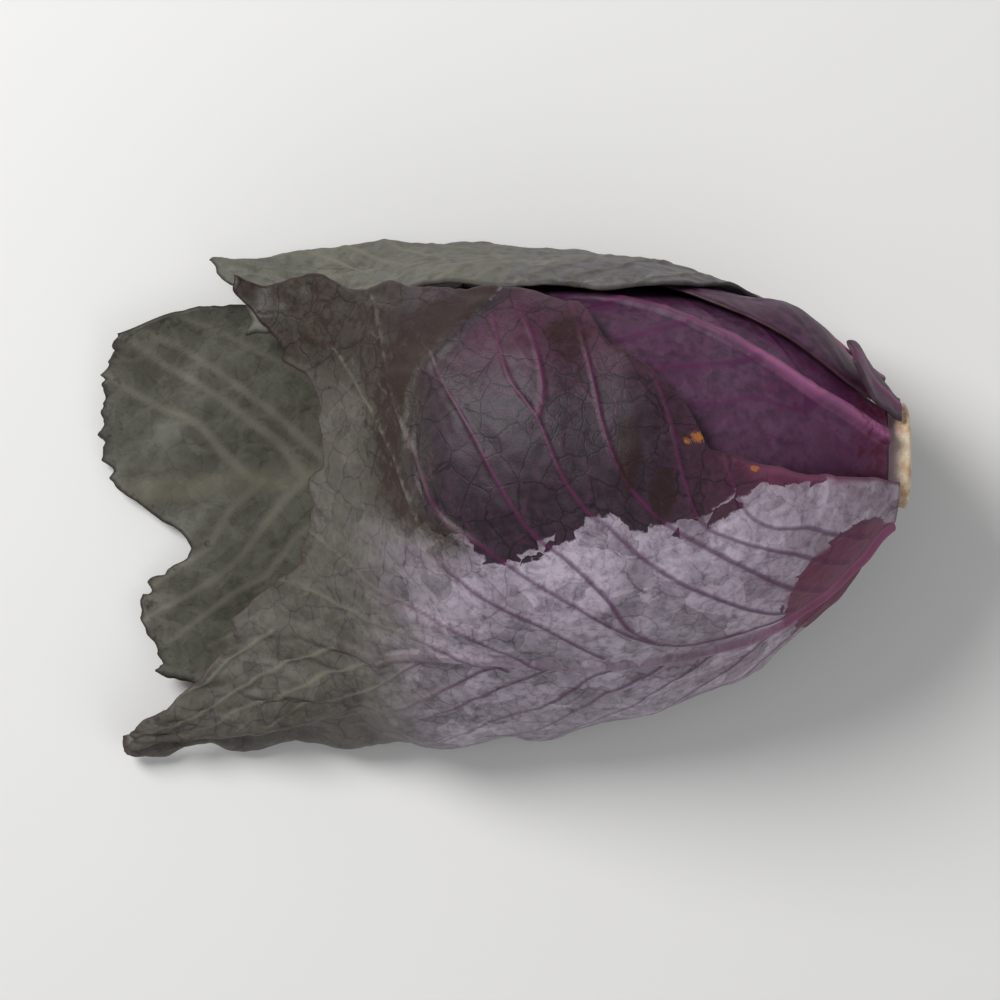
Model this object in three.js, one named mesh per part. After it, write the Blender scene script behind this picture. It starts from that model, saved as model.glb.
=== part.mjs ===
// A small pointed red cabbage, picked with its loose outer leaves and lying on its side.
// Millimetres. +X runs to the cut stump, +Y to the back of the head, +Z up, and the leaf
// that the head lies on rests on z = 0.
import * as THREE from "three";

// Driving dimensions.
const BELLY_X = 30; // the fattest place of the head
const UNDER_HEAD = 2.2; // from the floor to the lowest point of the head's own surface
const LEAF_THICKNESS = 1.1;
const MARGIN_THICKNESS = 0.7;
const HEART_TIP_X = -11;
const HEART_SHOULDER_X = 8;
const HEART_BASE_X = 67;
const STUMP_START_X = 67.5;
const STUMP_CUT_X = 78.5;
const STUMP_RADIUS = 9.8;
const LEAF_BASE_X = 75.5;
// Layers, as distances from the head's own surface to the middle of a leaf.
const HEART_LAYER = -1.5;
const INNER_LAYER = 0;
const MIDDLE_LAYER = 2.0;
const OUTER_LAYER = 4.0;

const degrees = THREE.MathUtils.degToRad;
const clamp = THREE.MathUtils.clamp;
const lerp = THREE.MathUtils.lerp;
const smoothstep = THREE.MathUtils.smoothstep;

// A smooth curve through [position, value] knots, level beyond its two ends.
function curve(...knots) {
  const points = [...knots].sort((a, b) => a[0] - b[0]);
  const last = points.length - 1;
  const slope = (i) => {
    const before = points[Math.max(i - 1, 0)];
    const after = points[Math.min(i + 1, last)];
    return i === 0 || i === last ? 0 : (after[1] - before[1]) / (after[0] - before[0]);
  };
  return (at) => {
    if (at <= points[0][0]) return points[0][1];
    if (at >= points[last][0]) return points[last][1];
    const i = points.findIndex((point) => point[0] > at) - 1;
    const width = points[i + 1][0] - points[i][0];
    const t = (at - points[i][0]) / width;
    const rise = t * t * (3 - 2 * t);
    const startPull = slope(i) * width * t * (1 - t) * (1 - t);
    const endPull = slope(i + 1) * width * t * t * (1 - t);
    return lerp(points[i][1], points[i + 1][1], rise) + startPull - endPull;
  };
}

// The head's own surface: at each x an ellipse round the axis. Beyond the tip it flattens out
// into the bed that the loose leaves lie on.
const halfWidth = curve([-80, 44], [-50, 42], [-30, 38], [-10, 34.5], [8, 34], [30, 33], [50, 27.5],
  [60, 21.5], [67, 15.5], [72, 12], [77, 11]);
const halfHeight = curve([-80, 3], [-50, 4.5], [-35, 8], [-25, 13], [-15, 21], [-5, 26.5], [8, 29],
  [30, 29.5], [50, 25], [60, 19.5], [67, 14.5], [72, 12], [77, 11]);
const axisY = curve([-80, 1], [-50, 3], [-20, 6], [0, 7.5], [40, 8], [77, 10]);
const axisZ = (x) => UNDER_HEAD + halfHeight(Math.min(x, BELLY_X));

// How far one unit of layer goes across the ellipse, so that a layer is a true distance even
// where the surface is steep. The angle is 0 at the front, 90 on top and 180 at the back.
function stretch(x, angle) {
  const step = 1;
  const w = halfWidth(x);
  const h = halfHeight(x);
  const normal = new THREE.Vector2(-Math.cos(angle) / w, Math.sin(angle) / h).normalize();
  const outward = new THREE.Vector2(-Math.cos(angle), Math.sin(angle));
  const edge = (at) => new THREE.Vector2(
    axisY(at) - halfWidth(at) * Math.cos(angle),
    axisZ(at) + halfHeight(at) * Math.sin(angle),
  );
  const steepness = edge(x + step).sub(edge(x - step)).divideScalar(2 * step).dot(normal);
  return Math.hypot(1, steepness) / Math.max(normal.dot(outward), 0.6);
}

function onHead(x, angle, layer) {
  const out = layer * stretch(x, angle);
  return new THREE.Vector3(
    x,
    axisY(x) - (halfWidth(x) + out) * Math.cos(angle),
    axisZ(x) + (halfHeight(x) + out) * Math.sin(angle),
  );
}

// The angle and layer of a place beside the head given by its y and z, found by halving.
function placeBeside(x, y, z) {
  const aside = Math.abs(y - axisY(x));
  const below = axisZ(x) - z;
  let near = 0;
  let far = 80;
  for (let turn = 0; turn < 30; turn += 1) {
    const out = (near + far) / 2;
    const reach = Math.hypot(aside / (halfWidth(x) + out), below / (halfHeight(x) + out));
    if (reach > 1) near = out;
    else far = out;
  }
  const fromSide = Math.atan2(below / (halfHeight(x) + far), aside / (halfWidth(x) + far));
  const angle = y < axisY(x) ? -fromSide : Math.PI + fromSide;
  return { angle, layer: far / stretch(x, angle) };
}

// A closed sheet: a grid of points on its middle surface, thickened both ways along the normals
// by what the two functions of row and column say.
function sheet(grid, outwardThickness, inwardThickness) {
  const rows = grid.length;
  const columns = grid[0].length;
  const positions = [];
  const normalAt = (i, j) => {
    const along = grid[Math.min(i + 1, rows - 1)][j].clone().sub(grid[Math.max(i - 1, 0)][j]);
    const across = grid[i][Math.min(j + 1, columns - 1)].clone().sub(grid[i][Math.max(j - 1, 0)]);
    return across.cross(along).normalize();
  };
  for (const [side, thickness] of [[1, outwardThickness], [-1, inwardThickness]]) {
    for (let i = 0; i < rows; i += 1) {
      for (let j = 0; j < columns; j += 1) {
        const point = grid[i][j].clone().addScaledVector(normalAt(i, j), side * thickness(i, j));
        positions.push(point.x, point.y, point.z);
      }
    }
  }
  const outside = (i, j) => i * columns + j;
  const inside = (i, j) => rows * columns + i * columns + j;
  const index = [];
  const quad = (a, b, c, d) => index.push(a, b, c, a, c, d);
  for (let i = 0; i + 1 < rows; i += 1) {
    for (let j = 0; j + 1 < columns; j += 1) {
      quad(outside(i, j), outside(i, j + 1), outside(i + 1, j + 1), outside(i + 1, j));
      quad(inside(i, j), inside(i + 1, j), inside(i + 1, j + 1), inside(i, j + 1));
    }
  }
  for (let i = 0; i + 1 < rows; i += 1) {
    quad(outside(i, 0), outside(i + 1, 0), inside(i + 1, 0), inside(i, 0));
    const j = columns - 1;
    quad(outside(i, j), inside(i, j), inside(i + 1, j), outside(i + 1, j));
  }
  for (let j = 0; j + 1 < columns; j += 1) {
    quad(outside(0, j), inside(0, j), inside(0, j + 1), outside(0, j + 1));
    const i = rows - 1;
    quad(outside(i, j), outside(i, j + 1), inside(i, j + 1), inside(i, j));
  }
  const geometry = new THREE.BufferGeometry();
  geometry.setAttribute("position", new THREE.Float32BufferAttribute(positions, 3));
  geometry.setIndex(index);
  return geometry;
}

// The columns of a leaf, as fractions from its low margin (0) over the midrib to its high
// margin (1), with the millimetres that a column keeps from the middle of the rib.
function leafColumns(lowSteps, highSteps, ribFraction, ribHalfWidth) {
  const columns = [];
  for (let i = 0; i < lowSteps; i += 1) columns.push({ fraction: (ribFraction * i) / lowSteps });
  for (const part of [-1, -0.45, 0.45, 1]) {
    columns.push({ fraction: ribFraction, fromRib: part * ribHalfWidth });
  }
  for (let i = 1; i <= highSteps; i += 1) {
    columns.push({ fraction: ribFraction + ((1 - ribFraction) * i) / highSteps });
  }
  return columns;
}

// A leaf that follows the head. Its margins and midrib are curves of x, in degrees round the
// axis or as places beside the head; its far end is a curve over its columns.
function wrapLeaf(leaf) {
  const { rows, lowSteps, highSteps, baseX, farEnd, low, high, rib, ribAt, ribHalfWidth } = leaf;
  const columns = leafColumns(lowSteps, highSteps, ribAt, ribHalfWidth);
  const grid = [];
  for (let i = 0; i < rows; i += 1) {
    const along = i / (rows - 1);
    grid.push(columns.map(({ fraction, fromRib = 0 }) => {
      const x = lerp(baseX, farEnd(fraction), along);
      const reach = halfWidth(x) + leaf.layer(x, rib(x));
      const ribAngle = rib(x) + fromRib / reach;
      const margin = fraction < ribAt ? low(x) : high(x);
      const toMargin = fraction < ribAt ? 1 - fraction / ribAt : (fraction - ribAt) / (1 - ribAt);
      const side = fraction < ribAt ? -1 : 1;
      const start = ribAngle + (fromRib === 0 ? (side * ribHalfWidth) / reach : 0);
      const angle = lerp(start, margin.angle, toMargin);
      const flare = (margin.layer - leaf.layer(x, angle)) * toMargin ** (side < 0 ? 1.3 : 1.6);
      const ruffle = leaf.ruffle * toMargin ** 3 * Math.sin(x * 0.33 + side * 1.3 + angle * 2);
      return onHead(x, angle, leaf.layer(x, angle) + flare + ruffle);
    }));
  }
  const last = columns.length - 1;
  const thickness = (i, j) => {
    const atEdge = i === rows - 1 || j === 0 || j === last;
    return (atEdge ? MARGIN_THICKNESS : LEAF_THICKNESS) / 2;
  };
  const withRib = (i, j) => {
    const part = Math.abs(columns[j].fromRib ?? Infinity) / ribHalfWidth;
    const fade = 1 - (0.9 * i) / (rows - 1);
    return thickness(i, j) + (part < 0.9 ? leaf.ribHeight * fade : 0);
  };
  return sheet(grid, withRib, thickness);
}

const atAngle = (angle, layer) => (x) => ({ angle: degrees(angle(x)), layer });
const beside = (y, z) => (x) => placeBeside(x, y(x), z(x));
const inRadians = (angle) => (x) => degrees(angle(x));

// The outer leaves close in on the stump at their bases, past the ends of the leaves inside.
const outerLayer = (x) => OUTER_LAYER * (1 - 0.55 * smoothstep(x, 68, 75.5));

// The tight heart: rings along the axis, with a blunt tip and a flat base at the stump.
function heartGeometry() {
  const rings = 15;
  const spokes = 28;
  const positions = [];
  const index = [];
  for (let i = 0; i < rings; i += 1) {
    const x = lerp(HEART_TIP_X + 0.5, HEART_BASE_X, (i / (rings - 1)) ** 1.25);
    const toTip = clamp((HEART_SHOULDER_X - x) / (HEART_SHOULDER_X - HEART_TIP_X), 0, 1);
    const round = Math.sqrt(1 - toTip ** 2);
    for (let j = 0; j < spokes; j += 1) {
      const point = onHead(x, (2 * Math.PI * j) / spokes, HEART_LAYER);
      const y = lerp(axisY(x), point.y, round);
      const z = lerp(axisZ(x), point.z, round);
      positions.push(x, y, z);
    }
  }
  const tip = rings * spokes;
  positions.push(HEART_TIP_X, axisY(HEART_TIP_X), axisZ(HEART_TIP_X));
  positions.push(HEART_BASE_X, axisY(HEART_BASE_X), axisZ(HEART_BASE_X));
  for (let j = 0; j < spokes; j += 1) {
    const next = (j + 1) % spokes;
    index.push(tip, j, next);
    for (let i = 0; i + 1 < rings; i += 1) {
      const a = i * spokes;
      const b = (i + 1) * spokes;
      index.push(a + j, b + j, b + next, a + j, b + next, a + next);
    }
    const end = (rings - 1) * spokes;
    index.push(tip + 1, end + next, end + j);
  }
  const geometry = new THREE.BufferGeometry();
  geometry.setAttribute("position", new THREE.Float32BufferAttribute(positions, 3));
  geometry.setIndex(index);
  return geometry;
}

// The stump: a short woody stalk with a knife-cut end.
function stumpGeometry() {
  const length = STUMP_CUT_X - STUMP_START_X;
  const outline = [
    new THREE.Vector2(0, 0),
    new THREE.Vector2(STUMP_RADIUS, 0),
    new THREE.Vector2(STUMP_RADIUS - 0.6, length * 0.45),
    new THREE.Vector2(STUMP_RADIUS - 0.3, length - 0.8),
    new THREE.Vector2(STUMP_RADIUS - 1.1, length),
    new THREE.Vector2(0, length),
  ];
  const geometry = new THREE.LatheGeometry(outline, 24);
  geometry.rotateZ(-Math.PI / 2);
  geometry.translate(STUMP_START_X, axisY(STUMP_START_X + length / 2), axisZ(STUMP_START_X));
  return geometry;
}

// The leaf with the bright midrib over the shoulder of the head, just under the front leaf.
function topInnerLeafGeometry() {
  return wrapLeaf({
    rows: 15,
    lowSteps: 5,
    highSteps: 4,
    ribAt: 0.55,
    ribHalfWidth: 2.2,
    ribHeight: 2.0,
    ruffle: 0,
    baseX: LEAF_BASE_X - 2,
    farEnd: curve([0, -4], [0.5, -8], [1, -2]),
    layer: () => INNER_LAYER,
    low: atAngle(curve([76, 55], [60, 60], [30, 62], [0, 80], [-10, 88]), INNER_LAYER),
    high: atAngle(curve([76, 140], [60, 168], [40, 185], [0, 190]), INNER_LAYER),
    rib: inRadians(curve([76, 108], [66, 121], [60, 125], [44, 142], [22, 158], [0, 163])),
  });
}

// The leaf that closes the underside of the head.
function underInnerLeafGeometry() {
  return wrapLeaf({
    rows: 14,
    lowSteps: 5,
    highSteps: 5,
    ribAt: 0.5,
    ribHalfWidth: 2.5,
    ribHeight: 0.3,
    ruffle: 0,
    baseX: LEAF_BASE_X,
    farEnd: curve([0, -3], [0.5, -8], [1, -3]),
    layer: () => INNER_LAYER,
    low: atAngle(curve([76, -130], [60, -155], [40, -163], [0, -163]), INNER_LAYER),
    high: atAngle(curve([76, -50], [60, -20], [40, 5], [0, 20]), INNER_LAYER),
    rib: inRadians(curve([76, -88], [30, -84], [0, -80])),
  });
}

// The dark leaf behind the head, which stands out as a lobe beside the stump.
function backLeafGeometry() {
  const lobe = (x) => 2.4 * Math.exp(-(((x - 57) / 7) ** 2));
  return wrapLeaf({
    rows: 15,
    lowSteps: 4,
    highSteps: 4,
    ribAt: 0.45,
    ribHalfWidth: 2.2,
    ribHeight: 0.4,
    ruffle: 0,
    baseX: LEAF_BASE_X - 5,
    farEnd: curve([0, 2], [0.5, -6], [1, -2]),
    layer: (x, angle) => MIDDLE_LAYER + lobe(x) * (1 - smoothstep(angle, degrees(172), degrees(192))),
    low: atAngle(curve([76, 134], [66, 138], [60, 142], [44, 157], [22, 173], [0, 178]), MIDDLE_LAYER),
    high: atAngle(curve([76, 200], [60, 218], [40, 226], [0, 226]), MIDDLE_LAYER),
    rib: inRadians(curve([76, 168], [60, 182], [30, 200], [0, 203])),
  });
}

// Where the front leaf folds as it leaves the blunt tip of the head, as x over the angle.
const foldX = curve([65, 0], [85, -12.7], [99, -14.6], [114, -13.2], [133, -5], [150, 3]);

// The big front leaf: its midrib runs along the front of the head, its upper half closes over
// the top and runs out past the tip, and its lower half spreads down to the floor.
function frontLeafGeometry() {
  const layer = (x, angle) => {
    const round = THREE.MathUtils.radToDeg(angle);
    const onTop = smoothstep(round, 62, 95);
    const pastFold = 1 - smoothstep(x, foldX(round) - 3, foldX(round) + 3);
    const nearFold = Math.exp(-(((x - foldX(round) + 5) / 6) ** 2));
    return outerLayer(x) + onTop * (0.8 - 1.2 * pastFold - 1.6 * pastFold * nearFold);
  };
  const upperMargin = curve([76, 72], [70, 82], [63, 87], [53, 94], [40, 100], [36, 110], [30, 122],
    [22, 132], [15, 150], [-10, 152], [-50, 148]);
  return wrapLeaf({
    rows: 25,
    lowSteps: 4,
    highSteps: 9,
    ribAt: 0.35,
    ribHalfWidth: 2.8,
    ribHeight: 1.7,
    ruffle: 0.8,
    baseX: LEAF_BASE_X,
    farEnd: curve([0, -71], [0.12, -71], [0.22, -67], [0.35, -50], [0.45, -38], [0.6, -32], [0.75, -34],
      [0.9, -43], [1, -50]),
    layer,
    low: beside(
      curve([76, -2], [70, -11.5], [63, -22], [48, -34], [34, -40], [13, -45], [-9, -47], [-72, -47]),
      curve([76, 26], [70, 21.5], [63, 16], [48, 9], [34, 5], [13, 3.2], [-9, 2.6], [-72, 2.6]),
    ),
    high: (x) => ({ angle: degrees(upperMargin(x)), layer: outerLayer(x) + 0.6 }),
    rib: inRadians(curve([76, 0], [62, 6], [45, 14], [30, 18], [8, 21], [-20, 36], [-45, 54])),
  });
}

// The loose leaf at the back, which lies away from the head and tucks under the front leaf
// beyond the tip.
function backOuterLeafGeometry() {
  const layer = curve([75, 3], [71, 3.8], [66, 4.2], [45, 4.2], [20, 4.5], [0, 4.5], [-12, 3.6],
    [-22, 1.2], [-60, 1]);
  const tucked = curve([76, 190], [66, 196], [56, 198], [48, 188], [38, 165], [30, 156], [20, 154],
    [0, 154], [-12, 156], [-18, 152], [-25, 142], [-50, 128]);
  const tuckedLayer = curve([75, 2.8], [71, 3.7], [60, 3.9], [50, 3.8], [30, 3.5], [0, 3.4], [-12, 3],
    [-22, 1.2], [-60, 1]);
  return wrapLeaf({
    rows: 18,
    lowSteps: 3,
    highSteps: 5,
    ribAt: 0.35,
    ribHalfWidth: 2.4,
    ribHeight: 1.0,
    ruffle: 0.5,
    baseX: LEAF_BASE_X - 1.5,
    farEnd: curve([0, -46], [0.35, -53], [0.7, -50], [1, -44]),
    layer,
    low: (x) => ({ angle: degrees(tucked(x)), layer: tuckedLayer(x) }),
    high: beside(
      curve([76, 21], [66, 28], [50, 37.5], [30, 45], [0, 49], [-30, 49.5], [-52, 44]),
      curve([76, 24], [66, 18], [50, 10], [30, 5], [0, 3], [-52, 3]),
    ),
    rib: inRadians(curve([76, 203], [60, 206], [48, 200], [34, 188], [0, 184], [-50, 176])),
  });
}

// The stub of a leaf that was torn off, curling away from the stump.
function tornStubGeometry() {
  const layer = curve([76.3, -0.4], [75, 0.4], [73.5, 2], [70.5, 4], [67, 6.8]);
  return wrapLeaf({
    rows: 8,
    lowSteps: 2,
    highSteps: 2,
    ribAt: 0.5,
    ribHalfWidth: 1.6,
    ribHeight: 0.6,
    ruffle: 0,
    baseX: LEAF_BASE_X + 0.8,
    farEnd: curve([0, 70.5], [0.5, 66.5], [1, 69]),
    layer,
    low: (x) => ({ angle: degrees(128), layer: layer(x) }),
    high: (x) => ({ angle: degrees(162), layer: layer(x) + 0.4 }),
    rib: () => degrees(145),
  });
}

// The leaf under the head: it rises from the floor to the stump, lies flat where it carries the
// head, and its far part lifts a little off the floor.
function groundLeafGeometry() {
  const rows = 22;
  const columns = 13;
  const thickness = LEAF_THICKNESS / 2;
  const frontMargin = curve([74, 5], [62, 0], [50, -10], [30, -24], [0, -36], [-30, -40], [-60, -36],
    [-76, -30]);
  const backMargin = curve([74, 13], [62, 18], [50, 26], [30, 36], [0, 42], [-30, 40], [-60, 38],
    [-76, 33]);
  const farEnd = curve([0, -66], [0.2, -67], [0.36, -60], [0.5, -71], [0.75, -75], [1, -72]);
  const clearOfHead = INNER_LAYER + 2.2;
  const grid = [];
  for (let i = 0; i < rows; i += 1) {
    const line = [];
    for (let j = 0; j < columns; j += 1) {
      const across = j / (columns - 1);
      const x = lerp(LEAF_BASE_X - 1.5, farEnd(across), i / (rows - 1));
      const y = lerp(frontMargin(x), backMargin(x), across);
      const out = clearOfHead * stretch(x, -Math.PI / 2);
      const aside = clamp((y - axisY(x)) / (halfWidth(x) + out), -1, 1);
      const hug = smoothstep(x, 60, 72);
      const underHead = axisZ(x) - (halfHeight(x) + out) * Math.sqrt(1 - hug * aside ** 2);
      const rising = x > BELLY_X ? underHead : 0;
      const loose = smoothstep(-x, 22, 60);
      const wave = 1 + Math.sin(x * 0.21 + y * 0.16) * Math.cos(y * 0.19 - 0.6);
      const curl = 2.2 * Math.abs(2 * across - 1) ** 4;
      line.push(new THREE.Vector3(x, y, Math.max(thickness, rising) + loose * (0.7 * wave + curl)));
    }
    grid.push(line.reverse());
  }
  return sheet(grid, () => thickness, () => thickness);
}

const FINISHES = {
  stump: { color: 0xd9bf98, roughness: 0.8 },
  heart: { color: 0x43243a, roughness: 0.5 },
  inner: { color: 0x5a3350, roughness: 0.45 },
  front: { color: 0x6d5a70, roughness: 0.55 },
  outer: { color: 0x6a6a62, roughness: 0.65 },
};

function addPiece(group, name, geometry, finish) {
  geometry.computeVertexNormals();
  const material = new THREE.MeshStandardMaterial({ ...FINISHES[finish], metalness: 0 });
  const mesh = new THREE.Mesh(geometry, material);
  mesh.name = name;
  group.add(mesh);
}

function redCabbage() {
  const group = new THREE.Group();
  group.name = "red_cabbage";
  addPiece(group, "stump", stumpGeometry(), "stump");
  addPiece(group, "heart", heartGeometry(), "heart");
  addPiece(group, "top_inner_leaf", topInnerLeafGeometry(), "inner");
  addPiece(group, "under_inner_leaf", underInnerLeafGeometry(), "inner");
  addPiece(group, "back_leaf", backLeafGeometry(), "inner");
  addPiece(group, "front_leaf", frontLeafGeometry(), "front");
  addPiece(group, "back_outer_leaf", backOuterLeafGeometry(), "outer");
  addPiece(group, "torn_stub", tornStubGeometry(), "inner");
  addPiece(group, "ground_leaf", groundLeafGeometry(), "outer");
  // The box of the whole is centred over the origin.
  const centre = new THREE.Box3().setFromObject(group).getCenter(new THREE.Vector3());
  for (const piece of group.children) piece.geometry.translate(-centre.x, -centre.y, 0);
  return group;
}

export default redCabbage();
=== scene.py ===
"""The looks of a small pointed red cabbage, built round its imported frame.

Every leaf is made in millimetres on the head's own axis, as a closed sheet with its ragged
margins, midrib, veins and folds, and is then placed in the frame, in metres. The cabbage lies
on its side: +X runs to the cut stump, +Y to the back of the head and +Z up.
"""

import logging
import math
from dataclasses import dataclass, field
from enum import Enum
from itertools import product
from typing import Callable, Sequence

import bpy
import numpy as np
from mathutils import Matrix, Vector


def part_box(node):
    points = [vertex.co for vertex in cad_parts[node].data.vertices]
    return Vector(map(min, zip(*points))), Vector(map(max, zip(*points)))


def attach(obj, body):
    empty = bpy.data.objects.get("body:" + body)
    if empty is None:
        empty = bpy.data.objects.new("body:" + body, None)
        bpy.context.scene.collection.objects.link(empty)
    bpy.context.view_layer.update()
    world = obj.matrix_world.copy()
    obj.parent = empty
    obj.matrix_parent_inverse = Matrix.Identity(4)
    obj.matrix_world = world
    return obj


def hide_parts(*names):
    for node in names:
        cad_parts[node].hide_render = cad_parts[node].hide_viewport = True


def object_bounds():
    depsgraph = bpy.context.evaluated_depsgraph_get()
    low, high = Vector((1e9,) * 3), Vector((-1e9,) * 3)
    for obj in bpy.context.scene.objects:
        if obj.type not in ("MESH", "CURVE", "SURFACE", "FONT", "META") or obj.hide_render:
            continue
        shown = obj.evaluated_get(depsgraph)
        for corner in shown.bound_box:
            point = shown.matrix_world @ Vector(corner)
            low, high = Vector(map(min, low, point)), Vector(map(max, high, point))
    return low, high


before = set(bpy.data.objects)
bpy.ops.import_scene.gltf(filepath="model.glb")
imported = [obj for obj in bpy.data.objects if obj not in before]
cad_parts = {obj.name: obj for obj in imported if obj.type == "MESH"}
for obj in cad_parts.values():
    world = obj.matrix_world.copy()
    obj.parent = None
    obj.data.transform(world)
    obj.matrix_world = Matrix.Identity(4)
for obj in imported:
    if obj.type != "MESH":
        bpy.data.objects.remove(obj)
FRAME_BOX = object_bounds()

log = logging.getLogger("red_cabbage")

Array = np.ndarray
Curve = Callable[[Array], Array]
Place = Callable[[Array], tuple[Array, Array]]
Socket = bpy.types.NodeSocket

MM = 0.001


# ---------------------------------------------------------------------------
# Curves, noise and cells
# ---------------------------------------------------------------------------


def curve(*knots: tuple[float, float]) -> Curve:
    """A smooth curve through (position, value) knots, level beyond its two ends.

    Args:
        knots: The points that the curve passes through, in any order.

    Returns:
        A function that gives the value at an array of positions.
    """
    points = np.array(sorted(knots), dtype=float)
    places, values = points[:, 0], points[:, 1]
    slopes = np.zeros(len(places))
    slopes[1:-1] = (values[2:] - values[:-2]) / (places[2:] - places[:-2])

    def at(position: Array) -> Array:
        """The curve's value at each position."""
        position = np.clip(np.asarray(position, dtype=float), places[0], places[-1])
        i = np.clip(np.searchsorted(places, position, side="right") - 1, 0, len(places) - 2)
        width = places[i + 1] - places[i]
        t = (position - places[i]) / width
        rise = t * t * (3 - 2 * t)
        pull = slopes[i] * width * t * (1 - t) ** 2 - slopes[i + 1] * width * t * t * (1 - t)
        return values[i] + (values[i + 1] - values[i]) * rise + pull

    return at


def smoothstep(value: Array, low: float, high: float) -> Array:
    """Runs smoothly from 0 at low to 1 at high."""
    t = np.clip((value - low) / (high - low), 0.0, 1.0)
    return t * t * (3 - 2 * t)


def lerp(a: Array, b: Array, t: Array) -> Array:
    """The value t of the way from a to b."""
    return a + (b - a) * t


def scatter(i: Array, j: Array, seed: int) -> Array:
    """A repeatable number from 0 to 1 for each cell of a lattice.

    Args:
        i: The cells' first whole numbers.
        j: The cells' second whole numbers.
        seed: Which of the many patterns to use.

    Returns:
        One number for each cell.
    """
    mask = np.int64(0xFFFFFFFF)
    n = (i.astype(np.int64) * 374761393 + j.astype(np.int64) * 668265263 + seed * 974711) & mask
    n = ((n ^ (n >> 13)) * 1274126177) & mask
    n = ((n ^ (n >> 15)) * 2246822519) & mask
    n = n ^ (n >> 16)
    return (n & 0xFFFFFF) / float(0xFFFFFF)


def noise(p: Array, q: Array, size: float, seed: int, octaves: int = 3) -> Array:
    """Smooth noise from about -1 to 1 over a surface.

    Args:
        p: Places along the surface, in millimetres.
        q: Places across the surface, in millimetres.
        size: The size of the largest lumps, in millimetres.
        seed: Which of the many patterns to use.
        octaves: How many ever finer layers are added.

    Returns:
        The noise at each place.
    """
    total = np.zeros(np.broadcast(p, q).shape)
    strength = 1.0
    whole = 0.0
    for octave in range(octaves):
        u = p / size * 2**octave + 17.3 * octave
        v = q / size * 2**octave - 9.1 * octave
        i, j = np.floor(u), np.floor(v)
        a, b = u - i, v - j
        a, b = a * a * a * (a * (6 * a - 15) + 10), b * b * b * (b * (6 * b - 15) + 10)
        corner = [[scatter(i + di, j + dj, seed + octave) for dj in (0, 1)] for di in (0, 1)]
        near = lerp(corner[0][0], corner[0][1], b)
        far = lerp(corner[1][0], corner[1][1], b)
        total += strength * (2 * lerp(near, far, a) - 1)
        whole += strength
        strength *= 0.5
    return total / whole


def cells(p: Array, q: Array, size: float, seed: int) -> Array:
    """A net of irregular cells, such as the finest veins make.

    Args:
        p: Places along the surface, in millimetres.
        q: Places across the surface, in millimetres.
        size: The typical width of a cell, in millimetres.
        seed: Which of the many patterns to use.

    Returns:
        The distance to the nearest side of a cell, in millimetres.
    """
    u, v = p / size, q / size
    i, j = np.floor(u), np.floor(v)
    best = np.full(u.shape, 9.0)
    near_u, near_v = np.zeros(u.shape), np.zeros(u.shape)

    def centre(di: int, dj: int) -> tuple[Array, Array]:
        """Where the centre of a neighbouring cell lies, from each place."""
        away_u = i + di + 0.1 + 0.8 * scatter(i + di, j + dj, seed) - u
        away_v = j + dj + 0.1 + 0.8 * scatter(i + di, j + dj, seed + 51) - v
        return away_u, away_v

    for di, dj in product((-1, 0, 1), repeat=2):
        away_u, away_v = centre(di, dj)
        distance = np.hypot(away_u, away_v)
        closer = distance < best
        best = np.where(closer, distance, best)
        near_u, near_v = np.where(closer, away_u, near_u), np.where(closer, away_v, near_v)
    side = np.full(u.shape, 9.0)
    for di, dj in product((-2, -1, 0, 1, 2), repeat=2):
        away_u, away_v = centre(di, dj)
        gap_u, gap_v = away_u - near_u, away_v - near_v
        apart = np.hypot(gap_u, gap_v)
        middle = (away_u + near_u) * gap_u + (away_v + near_v) * gap_v
        distance = np.where(apart > 1e-6, 0.5 * middle / np.maximum(apart, 1e-6), 9.0)
        side = np.minimum(side, distance)
    return side * size


def quilting(p: Array, q: Array, seam: float, seed: int, bend_seed: int) -> Array:
    """How a blade swells between its finest veins: 0 along a vein, near 1 between them.

    Args:
        p: Places along the leaf, in millimetres.
        q: Places across the leaf, in millimetres.
        seam: The width of the dip along a vein, in millimetres.
        seed: Which net of veins to use.
        bend_seed: Which noise bends the net.

    Returns:
        The swelling at each place.
    """
    bent = p + noise(p, q, 5, bend_seed) * 1.5
    return 1 - np.exp(-((cells(bent, q, 6.0, seed) / seam) ** 2))


def rounded(edge: Array) -> Array:
    """How full a leaf is near its margin: 0 on the outline, 1 from a little over a millimetre in."""
    share = np.clip(edge / 1.2, 0, 1)
    return np.sqrt(share * (2 - share))


# ---------------------------------------------------------------------------
# The form of the head
# ---------------------------------------------------------------------------


class Layer(Enum):
    """How far from the head's own surface a leaf's middle lies, in millimetres."""

    HEART = -1.5
    INNER = 0.0
    MIDDLE = 2.0
    OUTER = 4.0


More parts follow.
